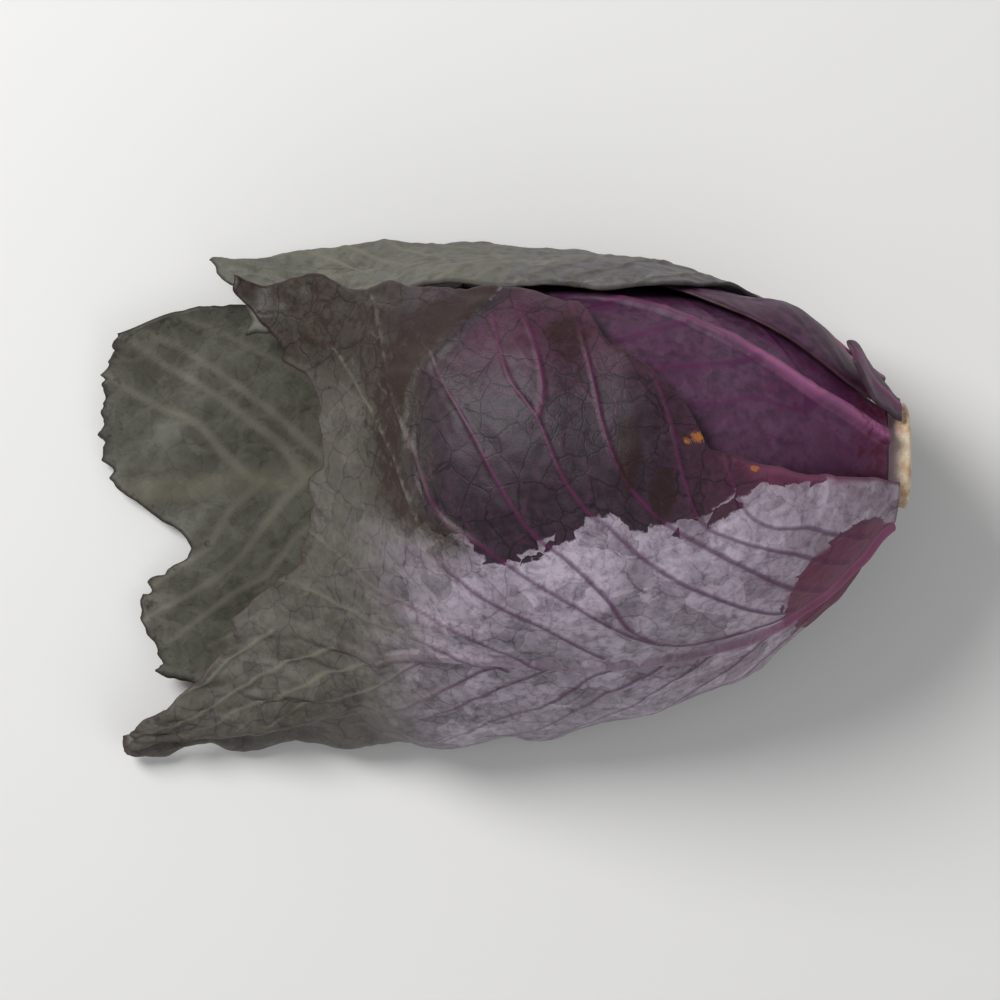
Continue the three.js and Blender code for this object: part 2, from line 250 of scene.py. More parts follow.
@dataclass(frozen=True)
class HeadForm:
    """The head's own surface: at each x an ellipse round the axis. All in millimetres.

    Beyond the tip it flattens out into the bed that the loose leaves lie on. Angles are 0 at
    the front, 90 degrees on top and 180 at the back.
    """

    belly_x: float = 30.0
    under_head: float = 2.2
    half_width: Curve = curve(
        (-80, 44), (-50, 42), (-30, 38), (-10, 34.5), (8, 34), (30, 33), (50, 27.5), (60, 21.5),
        (67, 15.5), (72, 12), (77, 11),
    )
    half_height: Curve = curve(
        (-80, 3), (-50, 4.5), (-35, 8), (-25, 13), (-15, 21), (-5, 26.5), (8, 29), (30, 29.5),
        (50, 25), (60, 19.5), (67, 14.5), (72, 12), (77, 11),
    )
    axis_y: Curve = curve((-80, 1), (-50, 3), (-20, 6), (0, 7.5), (40, 8), (77, 10))

    def axis_z(self, x: Array) -> Array:
        """The height of the axis above the floor."""
        return self.under_head + self.half_height(np.minimum(x, self.belly_x))

    def edge(self, x: Array, angle: Array) -> tuple[Array, Array]:
        """The y and z of the surface at each x and angle."""
        y = self.axis_y(x) - self.half_width(x) * np.cos(angle)
        z = self.axis_z(x) + self.half_height(x) * np.sin(angle)
        return y, z

    def stretch(self, x: Array, angle: Array) -> Array:
        """How far one unit of layer goes across the ellipse, where the surface is steep."""
        step = 1.0
        across = -np.cos(angle) / self.half_width(x)
        upward = np.sin(angle) / self.half_height(x)
        length = np.hypot(across, upward)
        across, upward = across / length, upward / length
        y_after, z_after = self.edge(x + step, angle)
        y_before, z_before = self.edge(x - step, angle)
        steepness = ((y_after - y_before) * across + (z_after - z_before) * upward) / (2 * step)
        facing = across * -np.cos(angle) + upward * np.sin(angle)
        return np.hypot(1.0, steepness) / np.maximum(facing, 0.6)

    def place(self, x: Array, angle: Array, layer: Array) -> Array:
        """Points at a distance from the head's surface.

        Args:
            x: Places along the axis.
            angle: Angles round the axis, in radians.
            layer: Distances out from the surface.

        Returns:
            An array of points, with x, y and z last.
        """
        out = layer * self.stretch(x, angle)
        y = self.axis_y(x) - (self.half_width(x) + out) * np.cos(angle)
        z = self.axis_z(x) + (self.half_height(x) + out) * np.sin(angle)
        return np.stack(np.broadcast_arrays(x, y, z), axis=-1)

    def beside(self, y: Curve, z: Curve) -> Place:
        """A margin given by its y and z, as the angle and layer at each x, found by halving."""
        xs = np.linspace(-80, 80, 321)
        aside = np.abs(y(xs) - self.axis_y(xs))
        below = self.axis_z(xs) - z(xs)
        near, far = np.zeros(xs.shape), np.full(xs.shape, 80.0)
        for _ in range(30):
            out = (near + far) / 2
            reach = np.hypot(
                aside / (self.half_width(xs) + out), below / (self.half_height(xs) + out)
            )
            near, far = np.where(reach > 1, out, near), np.where(reach > 1, far, out)
        slant = np.arctan2(
            below / (self.half_height(xs) + far), aside / (self.half_width(xs) + far)
        )
        angle = np.where(y(xs) < self.axis_y(xs), -slant, math.pi + slant)
        layer = far / self.stretch(xs, angle)

        def at(x: Array) -> tuple[Array, Array]:
            """The margin's angle and layer at each x."""
            return np.interp(x, xs, angle), np.interp(x, xs, layer)

        return at

    def angle_over(self, x: Array, y: Array, layer: float) -> Array:
        """The angle of the upper surface's points that lie over these x and y."""
        wide = self.half_width(x) + layer
        return np.arccos(np.clip((self.axis_y(x) - y) / wide, -1.0, 1.0))


FORM = HeadForm()

# Where the leaves leave the stump, and the angle of the front leaf's midrib at each x.
LEAF_BASE_X = 75.5
FRONT_RIB = curve((76, 0), (62, 6), (45, 14), (30, 18), (8, 21), (-20, 36), (-45, 54))


def at_angle(angle: Curve, layer: Callable[[Array], Array] | float) -> Place:
    """A margin given by its angle in degrees and its layer, as functions of x."""

    def at(x: Array) -> tuple[Array, Array]:
        """The margin's angle and layer at each x."""
        out = layer(x) if callable(layer) else np.full(np.shape(x), float(layer))
        return np.radians(angle(x)), out

    return at


def stump_place() -> tuple[float, float]:
    """How far the frame is moved from the head's own axis in x and y, in millimetres."""
    low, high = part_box("stump")
    shift_x = high[0] / MM - Stump.cut_x
    shift_y = (low[1] + high[1]) / 2 / MM - float(FORM.axis_y((Stump.start_x + Stump.cut_x) / 2))
    return shift_x, shift_y


# ---------------------------------------------------------------------------
# Meshes
# ---------------------------------------------------------------------------


# Further from the edge of a rubbed patch than its ragged outline reaches, in millimetres.
FAR = 9.0


def plain_marks(shape: tuple[int, ...]) -> dict[str, Array]:
    """What a leaf's finish needs to know at each point, for an even leaf in good order."""
    marks = {name: np.zeros(shape) for name in (
        "vein", "rib", "margin", "aged", "blush", "tint", "stain", "speck", "lip",
    )}
    marks["rubbed"] = np.full(shape, -FAR)
    marks["bloom"] = np.ones(shape)
    return marks


def make_mesh(
    name: str, points: Array, faces: Sequence[Array], marks: dict[str, Array]
) -> bpy.types.Object:
    """Makes a smooth mesh object from points in millimetres on the head's axis.

    Args:
        name: The name of the object.
        points: One row of x, y and z for each point.
        faces: Arrays of point numbers, one row a face.
        marks: Values at each point, by name: one number, or three for a vector.

    Returns:
        The object, in place in the frame.
    """
    shift_x, shift_y = stump_place()
    metres = (points + np.array([shift_x, shift_y, 0.0])) * MM
    mesh = bpy.data.meshes.new(name)
    corners = np.concatenate([f.reshape(-1) for f in faces]).astype(np.int32)
    sizes = np.concatenate([np.full(len(f), f.shape[1]) for f in faces])
    starts = np.concatenate([[0], np.cumsum(sizes)[:-1]]).astype(np.int32)
    mesh.vertices.add(len(metres))
    mesh.vertices.foreach_set("co", metres.astype(np.float32).reshape(-1))
    mesh.loops.add(len(corners))
    mesh.loops.foreach_set("vertex_index", corners)
    mesh.polygons.add(len(sizes))
    mesh.polygons.foreach_set("loop_start", starts)
    mesh.polygons.foreach_set("use_smooth", np.ones(len(sizes), dtype=bool))
    for mark, values in marks.items():
        kind, slot = ("FLOAT_VECTOR", "vector") if values.ndim == 2 else ("FLOAT", "value")
        layer = mesh.attributes.new(mark, kind, "POINT")
        layer.data.foreach_set(slot, values.astype(np.float32).reshape(-1))
    mesh.update(calc_edges=True)
    mesh.validate()
    piece = bpy.data.objects.new(name, mesh)
    bpy.context.scene.collection.objects.link(piece)
    return piece


def surface_normals(grid: Array) -> Array:
    """Unit normals of a grid of points, from its neighbours along and across."""
    along = np.gradient(grid, axis=0)
    across = np.gradient(grid, axis=1)
    normal = np.cross(across, along)
    return normal / np.maximum(np.linalg.norm(normal, axis=-1, keepdims=True), 1e-9)


def closed_sheet(outer: Array, inner: Array) -> tuple[Array, list[Array]]:
    """Joins a fine outer face and an inner face of half as many rows and columns.

    Args:
        outer: A grid of points with odd numbers of rows and columns.
        inner: The grid of every second point, on the other side of the leaf.

    Returns:
        All the points, and the faces: squares, then the triangles round the margin.
    """
    rows, columns = outer.shape[:2]
    out = np.arange(rows * columns).reshape(rows, columns)
    few_rows, few_columns = inner.shape[:2]
    into = rows * columns + np.arange(few_rows * few_columns).reshape(few_rows, few_columns)
    front = np.stack([out[:-1, :-1], out[:-1, 1:], out[1:, 1:], out[1:, :-1]], axis=-1)
    back = np.stack([into[:-1, :-1], into[1:, :-1], into[1:, 1:], into[:-1, 1:]], axis=-1)
    triangles = []
    for fine, coarse, turned in (
        (out[:, 0], into[:, 0], False),
        (out[:, -1], into[:, -1], True),
        (out[0, :], into[0, :], True),
        (out[-1, :], into[-1, :], False),
    ):
        first, middle, last = fine[:-2:2], fine[1:-1:2], fine[2::2]
        near, far = coarse[:-1], coarse[1:]
        strip = [
            np.stack([first, middle, near], axis=-1),
            np.stack([middle, far, near], axis=-1),
            np.stack([middle, last, far], axis=-1),
        ]
        triangles += [part[:, ::-1] if turned else part for part in strip]
    points = np.concatenate([outer.reshape(-1, 3), inner.reshape(-1, 3)])
    return points, [front.reshape(-1, 4), back.reshape(-1, 4), np.concatenate(triangles)]


def closed_tube(rings: Array, ends: Array, mirrored: bool) -> tuple[Array, list[Array]]:
    """Joins rings of points into a tube, closed by a fan at each end.

    Args:
        rings: A grid of points, one row a ring.
        ends: The point that closes the start and the point that closes the end.
        mirrored: Whether the rings run the other way round the tube.

    Returns:
        All the points, and the faces: the squares, then both fans.
    """
    count, spokes = rings.shape[:2]
    index = np.arange(count * spokes).reshape(count, spokes)
    after = np.roll(index, -1, axis=1)
    start, end = (np.full(spokes, count * spokes + k) for k in (0, 1))
    faces = [
        np.stack([index[:-1], after[:-1], after[1:], index[1:]], axis=-1).reshape(-1, 4),
        np.stack([start, after[0], index[0]], axis=-1),
        np.stack([end, index[-1], after[-1]], axis=-1),
    ]
    if mirrored:
        faces = [np.roll(part[:, ::-1], 1, axis=1) for part in faces]
    return np.concatenate([rings.reshape(-1, 3), ends]), faces


def marks_for(outer: dict[str, Array]) -> dict[str, Array]:
    """The marks of a closed sheet, from those of its outer face, which its inner face shares."""
    shared = {}
    for name, values in outer.items():
        fine = values.reshape(-1, *values.shape[2:])
        coarse = values[::2, ::2].reshape(-1, *values.shape[2:])
        shared[name] = np.concatenate([fine, coarse])
    return shared


# ---------------------------------------------------------------------------
# Veins
# ---------------------------------------------------------------------------


@dataclass(frozen=True)
class Vein:
    """One vein on a leaf: its path in millimetres along and across, thick first, thin last."""

    path: Array
    start_width: float
    end_width: float
    start_height: float
    end_height: float
    tint: float = 1.0

    def samples(self) -> tuple[Array, Array]:
        """Points close together along a smooth path, and how far along each lies, 0 to 1."""
        steps = np.hypot(*np.diff(self.path, axis=0).T)
        along = np.concatenate([[0], np.cumsum(steps)])
        fine = np.linspace(0, along[-1], max(int(along[-1] / 0.35), 4))
        smooth = [curve(*zip(along, self.path[:, axis]))(fine) for axis in (0, 1)]
        return np.stack(smooth, axis=-1), fine / along[-1]


@dataclass
class VeinField:
    """What the veins do to a leaf: their colour and relief at each of its points."""

    colour: Array
    relief: Array

    @classmethod
    def over(cls, p: Array, q: Array, veins: Sequence[Vein]) -> "VeinField":
        """Lays veins over a leaf.

        Args:
            p: Each point's place along the leaf, in millimetres.
            q: Each point's place across the leaf, in millimetres.
            veins: The veins.

        Returns:
            The colour, 0 to 1, and the relief in millimetres.
        """
        colour, relief = np.zeros(p.shape), np.zeros(p.shape)
        for vein in veins:
            path, share = vein.samples()
            reach = 3.2 * vein.start_width
            box = (
                (p > path[:, 0].min() - reach) & (p < path[:, 0].max() + reach)
                & (q > path[:, 1].min() - reach) & (q < path[:, 1].max() + reach)
            )
            if not box.any():
                continue
            here = np.stack([p[box], q[box]], axis=-1)
            best = np.full(len(here), 1e9)
            place = np.zeros(len(here))
            for start in range(0, len(path), 64):
                gap = here[:, None, :] - path[None, start : start + 64, :]
                distance = np.hypot(gap[..., 0], gap[..., 1])
                nearest = distance.argmin(axis=1)
                least = distance[np.arange(len(here)), nearest]
                closer = least < best
                best = np.where(closer, least, best)
                place = np.where(closer, share[start + nearest], place)
            width = lerp(vein.start_width, vein.end_width, place)
            height = lerp(vein.start_height, vein.end_height, place)
            across = best / width
            relief[box] = np.maximum(relief[box], height * np.exp(-(across**2)))
            shown = vein.tint * np.exp(-((across * 0.95) ** 4)) * (1 - 0.4 * place)
            colour[box] = np.maximum(colour[box], shown)
        return cls(colour, relief)


@dataclass(frozen=True)
class VeinPlan:
    """How a leaf's veins grow: pairs of side veins off the midrib, each with its branches."""

    length: float
    half_width: float
    pairs: int
    seed: int
    first: float = 0.1
    last: float = 0.85
    lean: float = 0.9
    bend: float = 0.35
    width: float = 0.75
    height: float = 0.35

    def grow(self) -> list[Vein]:
        """The side veins and their branches."""
        random = np.random.default_rng(self.seed)
        veins: list[Vein] = []
        for side in (-1, 1):
            for k in range(self.pairs):
                start = lerp(self.first, self.last, (k + 0.3 * side * 0.5 + 0.5) / self.pairs)
                start = (start + random.uniform(-0.02, 0.02)) * self.length
                reach = self.half_width * random.uniform(0.85, 1.05)
                t = np.linspace(0, 1, 7)
                p = start + reach * (self.lean * t + self.bend * t**2)
                q = side * reach * t * (1 - 0.12 * t)
                p = p + np.concatenate([[0], random.normal(0, 0.7, 6)])
                q = q + np.concatenate([[0], random.normal(0, 0.7, 6)])
                path = np.stack([p, q], axis=-1)
                veins.append(Vein(path, self.width, self.width * 0.45, self.height, self.height * 0.4))
                veins += branches(path, self.width * 0.55, self.height * 0.5, random)
        return veins


def branches(path: Array, width: float, height: float, random: np.random.Generator) -> list[Vein]:
    """Thin veins that leave a vein to both sides.

    Args:
        path: The vein's own path.
        width: How wide the branches start, in millimetres.
        height: How high they stand, in millimetres.
        random: Where the chance numbers come from.

    Returns:
        The branches.
    """
    found: list[Vein] = []
    steps = np.hypot(*np.diff(path, axis=0).T)
    along = np.concatenate([[0], np.cumsum(steps)])
    place = random.uniform(3.0, 6.0)
    side = 1
    while place < along[-1] * 0.95:
        root = np.array([np.interp(place, along, path[:, axis]) for axis in (0, 1)])
        ahead = np.array([np.interp(place + 1.0, along, path[:, axis]) for axis in (0, 1)])
        behind = np.array([np.interp(place - 1.0, along, path[:, axis]) for axis in (0, 1)])
        heading = math.atan2(*(ahead - behind)[::-1]) + side * random.uniform(0.75, 1.15)
        reach = random.uniform(6.0, 12.0) * (1 - 0.4 * place / along[-1])
        t = np.linspace(0, 1, 5)
        turn = heading - side * random.uniform(0.0, 0.5) * t
        p = root[0] + np.cumsum(np.concatenate([[0], np.cos(turn[1:]) * reach / 4]))
        q = root[1] + np.cumsum(np.concatenate([[0], np.sin(turn[1:]) * reach / 4]))
        wobble = random.normal(0, 0.35, (5, 2)) * (t > 0)[:, None]
        twig = np.stack([p, q], axis=-1) + wobble
        found.append(Vein(twig, width, width * 0.5, height, height * 0.3, tint=0.45))
        place += random.uniform(3.5, 6.5)
        side = -side
    return found


# ---------------------------------------------------------------------------
# Finishes
# ---------------------------------------------------------------------------


def linear(colour: str) -> tuple[float, float, float, float]:
    """An sRGB colour such as "#3a2d34" as linear red, green and blue, with alpha 1."""
    parts = [int(colour[i : i + 2], 16) / 255 for i in (1, 3, 5)]
    turned = [c / 12.92 if c <= 0.04045 else ((c + 0.055) / 1.055) ** 2.4 for c in parts]
    return turned[0], turned[1], turned[2], 1.0


class Graph:
    """A material's nodes, added one at a time with their settings and links."""

    def __init__(self, name: str) -> None:
        """Starts an empty material of that name."""
        self.material = bpy.data.materials.new(name)
        self.material.use_nodes = True
        self.tree = self.material.node_tree
        self.tree.nodes.clear()

    def add(self, kind: str, settings: dict | None = None, **inputs: object) -> bpy.types.Node:
        """Adds a node.

        Args:
            kind: The node's type name.
            settings: Values for the node's own properties.
            inputs: What goes into its sockets, by name with _ for a space, or by number as
                in_0: a value, or the socket to link from.

        Returns:
            The node.
        """
        node = self.tree.nodes.new(kind)
        for key, value in (settings or {}).items():
            setattr(node, key, value)
        for key, value in inputs.items():
            numbered = key.startswith("in_")
            socket = node.inputs[int(key[3:]) if numbered else key.replace("_", " ")]
            if isinstance(value, bpy.types.NodeSocket):
                self.tree.links.new(value, socket)
            else:
                socket.default_value = value
        return node

    def mark(self, name: str) -> Socket:
        """A number that the mesh carries at each point."""
        return self.add("ShaderNodeAttribute", {"attribute_name": name}).outputs["Fac"]

    def maths(self, operation: str, *values: object) -> Socket:
        """The result of one sum on numbers or sockets."""
        inputs = {f"in_{i}": value for i, value in enumerate(values)}
        return self.add("ShaderNodeMath", {"operation": operation}, **inputs).outputs[0]

    def ramp(self, value: object, low: float, high: float) -> Socket:
        """Runs smoothly from 0 where value is low to 1 where it is high."""
        settings = {"interpolation_type": "SMOOTHSTEP"}
        node = self.add("ShaderNodeMapRange", settings, in_0=value, in_1=low, in_2=high)
        return node.outputs[0]

    def wobble(self, value: object, by: Socket, amount: float) -> Socket:
        """A value pushed up and down by noise that runs from 0 to 1."""
        return self.maths("MULTIPLY_ADD", self.maths("SUBTRACT", by, 0.5), amount, value)

    def mix(self, share: object, below: object, above: object) -> Socket:
        """The colour above laid over the colour below by a share from 0 to 1."""
        node = self.add("ShaderNodeMix", {"data_type": "RGBA"}, in_0=share, in_6=below, in_7=above)
        return node.outputs[2]


@dataclass(frozen=True)
class LeafSkin:
    """Red cabbage leaf: a smooth waxy skin, purple from anthocyanin, under a pale wax bloom.

    The bloom scatters light, so it reads as a matt grey-lilac film; where it is rubbed off, the
    leaf below is dark, saturated and glossier. Sizes are in millimetres.
    """

    name: str
    flesh: str = "#1a0914"
    flesh_light: str = "#2b1424"
    tinted: str = "#5e1348"
    aged: str = "#38322a"
    bloom: str = "#beb1c0"
    aged_bloom: str = "#76726a"
    vein: str = "#571d45"
    vein_in_bloom: str = "#553c58"
    aged_vein: str = "#6c695c"
    net: str = "#100509"
    net_in_bloom: str = "#5c4c5c"
    rib: str = "#75586c"
    rib_bright: str = "#955277"
    margin: str = "#33201d"
    # Dark brown for stains, also used for painted shade.
    stain: str = "#26110f"
    speck: str = "#9a5f2c"
    bloom_strength: float = 0.9
    rubbed_bloom: float = 0.045
    cloud_size: float = 10.0
    mottle_size: float = 2.0
    grain_size: float = 0.2857
    bend_size: float = 2.857
    bend: float = 2.4
    net_size: float = 2.1
    net_strength: float = 0.8
    net_lost_in_bloom: float = 0.85
    net_lost_in_tint: float = 0.65
    rubbed_roughness: float = 0.47
    bloom_roughness: float = 0.62
    ior: float = 1.45
    specular: float = 0.33
    relief: float = 0.3
    relief_strength: float = 0.35

    def build(self) -> bpy.types.Material:
        """Makes the material: flesh, bloom, veins, rib (with a painted highlight on the inner leaf's
        crest), margin, and stains with painted shade, one over another.
        """
        g = Graph(self.name)
        place = g.add("ShaderNodeAttribute", {"attribute_name": "leaf"}).outputs["Vector"]
        cloud = self.noise(g, place, self.cloud_size, 4.0)
        mottle = self.noise(g, place, self.mottle_size, 6.0)
        grain = self.noise(g, place, self.grain_size, 4.0)
        rubbed, cell_tone = self.rubbed(g, place, mottle)
        aged = g.ramp(g.wobble(g.mark("aged"), cloud, 0.8), 0.15, 0.85)

        colour = g.mix(g.ramp(mottle, 0.36, 0.68), linear(self.flesh), linear(self.flesh_light))
        colour = g.mix(g.maths("MULTIPLY", g.mark("tint"), 0.8), colour, linear(self.tinted))
        colour = g.mix(aged, colour, linear(self.aged))
        wax = self.wax(g, rubbed, cell_tone, cloud, mottle, grain)
        colour = g.mix(wax, colour, g.mix(aged, linear(self.bloom), linear(self.aged_bloom)))

        net = g.maths("MULTIPLY", self.net_lines(g, place, cloud), self.shown_through(g, wax))
        net_colour = g.mix(wax, linear(self.net), linear(self.net_in_bloom))
        colour = g.mix(net, colour, net_colour)
        vein_colour = g.mix(wax, linear(self.vein), linear(self.vein_in_bloom))
        vein_colour = g.mix(aged, vein_colour, linear(self.aged_vein))
        vein = g.mark("vein")
        colour = g.mix(g.maths("MULTIPLY", vein, 0.9), colour, vein_colour)
        # Midrib colour; on the inner leaf its narrow crest mark is a painted highlight.
        rib_colour = g.mix(g.mark("blush"), linear(self.rib), linear(self.rib_bright))
        colour = g.mix(g.maths("MAXIMUM", g.mark("rib"), g.mark("lip")), colour, rib_colour)
        colour = g.mix(g.mark("margin"), colour, linear(self.margin))
        # Brown stains, and painted shade where a leaf's marks put it, laid over in one dark colour.
        stain_and_shade_share = g.ramp(g.wobble(g.mark("stain"), mottle, 2.4), 0.3, 0.9)
        colour = g.mix(g.maths("MULTIPLY", stain_and_shade_share, 0.85), colour, linear(self.stain))
        speck = g.ramp(g.wobble(g.mark("speck"), grain, 1.5), 0.35, 0.6)
        colour = g.mix(speck, colour, linear(self.speck))

        gain = self.bloom_roughness - self.rubbed_roughness
        roughness = g.maths("MULTIPLY_ADD", wax, gain, self.rubbed_roughness)
        roughness = g.wobble(roughness, grain, 0.16)
        raised = g.maths("MULTIPLY_ADD", net, -0.3, g.maths("MULTIPLY", grain, 0.2))
        raised = g.maths("MULTIPLY_ADD", mottle, 0.8, raised)
        bump = g.add(
            "ShaderNodeBump", Strength=self.relief_strength, Distance=self.relief * MM, Height=raised
        )
        shader = g.add(
            "ShaderNodeBsdfPrincipled", Base_Color=colour, Roughness=roughness, IOR=self.ior,
            Normal=bump.outputs[0], Specular_IOR_Level=self.specular,
        )
        g.add("ShaderNodeOutputMaterial", Surface=shader.outputs[0])
        return g.material

    def noise(self, g: Graph, place: Socket, size: float, detail: float) -> Socket:
        """Cloudy noise over the leaf, in lumps of one size."""
        node = g.add("ShaderNodeTexNoise", Vector=place, Scale=1 / size, Detail=detail, Roughness=0.6)
        return node.outputs["Fac"]

    def bent(self, g: Graph, place: Socket) -> Socket:
        """The place on the leaf, pushed about a little, so that no net lies straight."""
        push = g.add("ShaderNodeTexNoise", Vector=place, Scale=1 / self.bend_size, Detail=3.0)
        settings = {"operation": "MULTIPLY_ADD"}
        inputs = {"in_0": push.outputs["Color"], "in_1": (self.bend,) * 3, "in_2": place}
        return g.add("ShaderNodeVectorMath", settings, **inputs).outputs[0]

    def rubbed(self, g: Graph, place: Socket, mottle: Socket) -> tuple[Socket, Socket]:
        """Where the bloom is rubbed off, with a ragged edge, and a tone for each cell of the net."""
        scale = 1 / (2.4 * self.net_size)
        patch = g.add("ShaderNodeTexVoronoi", {"feature": "F1"}, Vector=self.bent(g, place), Scale=scale)
        tone = g.add("ShaderNodeSeparateColor", in_0=patch.outputs["Color"]).outputs[0]
        ragged = g.wobble(g.mark("rubbed"), tone, 5.0)
        return g.ramp(g.wobble(ragged, mottle, 4.0), -0.3, 0.3), tone

    def wax(
        self, g: Graph, rubbed: Socket, tone: Socket, cloud: Socket, mottle: Socket, grain: Socket
    ) -> Socket:
        """How thick the bloom lies: thin where it is rubbed, and uneven from cell to cell.

        Args:
            g: The material's nodes.
            rubbed: Where the bloom is rubbed off, 0 to 1.
            tone: A number for each cell of the net.
            cloud: Broad noise.
            mottle: Middling noise.
            grain: Fine noise.

        Returns:
            The bloom's cover, 0 to 1.
        """
        left = g.maths("MULTIPLY_ADD", rubbed, self.rubbed_bloom - 1.0, 1.0)
        cover = g.maths("MULTIPLY", g.mark("bloom"), self.bloom_strength)
        cover = g.maths("MULTIPLY", cover, left)
        for pattern, swing, least in (
            (g.ramp(cloud, 0.25, 0.6), 0.45, 0.55),
            (tone, 0.5, 0.65),
            (g.ramp(mottle, 0.3, 0.6), 0.4, 0.6),
            (grain, 0.4, 0.8),
        ):
            cover = g.maths("MULTIPLY", cover, g.maths("MULTIPLY_ADD", pattern, swing, least))
        return cover

    def shown_through(self, g: Graph, wax: Socket) -> Socket:
        """How much of the finest net shows: bloom hides it, and strongly tinted skin is smooth."""
        under_bloom = g.maths("MULTIPLY_ADD", wax, -self.net_lost_in_bloom, 1.0)
        on_tint = g.maths("MULTIPLY_ADD", g.mark("tint"), -self.net_lost_in_tint, 1.0)
        return g.maths("MULTIPLY", under_bloom, on_tint)

    def net_lines(self, g: Graph, place: Socket, cloud: Socket) -> Socket:
        """The net of the finest veins, as thin lines in two sizes."""
        where = self.bent(g, place)
        sides = {"feature": "DISTANCE_TO_EDGE"}
        fine = g.add("ShaderNodeTexVoronoi", sides, Vector=where, Scale=1 / self.net_size)
        coarse = g.add("ShaderNodeTexVoronoi", sides, Vector=where, Scale=1 / (3 * self.net_size))
        fine_line = g.maths("SUBTRACT", 1.0, g.ramp(fine.outputs["Distance"], 0.0, 0.09))
        coarse_line = g.maths("SUBTRACT", 1.0, g.ramp(coarse.outputs["Distance"], 0.0, 0.045))
        patchy = g.maths("MULTIPLY", fine_line, g.ramp(cloud, 0.38, 0.6))
        lines = g.maths("MAXIMUM", g.maths("MULTIPLY", patchy, 0.7), coarse_line)
        return g.maths("MULTIPLY", lines, self.net_strength)


@dataclass(frozen=True)
class CutStem:
    """Cut cabbage stump: pale woody flesh that has dried and browned since the knife."""

    name: str = "cut_stem_flesh"
    flesh: str = "#e9d8bd"
    dried: str = "#b98f62"
    skin: str = "#b59aa0"
    cloud_size: float = 2.857
    fibre_size: float = 0.3846
    relief: float = 0.6
    relief_strength: float = 0.7
    roughness: float = 0.75
    ior: float = 1.45

    def build(self) -> bpy.types.Material:
        """Makes the material: a pale core, a fibrous ring and a browned rim."""
        g = Graph(self.name)
        place = g.add("ShaderNodeAttribute", {"attribute_name": "leaf"}).outputs["Vector"]
        cloud = g.add("ShaderNodeTexNoise", Vector=place, Scale=1 / self.cloud_size, Detail=6.0)
        fibre = g.add(
            "ShaderNodeTexNoise", Vector=place, Scale=1 / self.fibre_size, Detail=5.0, Roughness=0.7
        )
        brown = g.wobble(g.mark("dry"), cloud.outputs["Fac"], 1.8)
        colour = g.mix(g.ramp(brown, 0.1, 0.9), linear(self.flesh), linear(self.dried))
        colour = g.mix(g.ramp(fibre.outputs["Fac"], 0.5, 0.8), colour, linear(self.dried))
        colour = g.mix(g.mark("skin"), colour, linear(self.skin))
        bump = g.add(
            "ShaderNodeBump", Strength=self.relief_strength, Distance=self.relief * MM,
            Height=fibre.outputs["Fac"],
        )
        shader = g.add(
            "ShaderNodeBsdfPrincipled", Base_Color=colour, Roughness=self.roughness, IOR=self.ior,
            Normal=bump.outputs[0],
        )
        g.add("ShaderNodeOutputMaterial", Surface=shader.outputs[0])
        return g.material


# ---------------------------------------------------------------------------
# Leaves
# ---------------------------------------------------------------------------


@dataclass
class LeafGrid:
    """The points of a leaf before it has any thickness, and where each lies on the leaf.

    Attributes:
        x: Places along the head's axis.
        angle: Angles round the axis, in radians.
        layer: Distances out from the head's surface.
        p: Distances along the leaf, from its base.
        q: Distances across the leaf, from its midrib.
        to_margin: How far out of the midrib each point lies, 0 to 1 at the margin.
        side: -1 on the low side of the midrib, 1 on the high side.
    """

    x: Array
    angle: Array
    layer: Array
    p: Array
    q: Array
    to_margin: Array
    side: Array


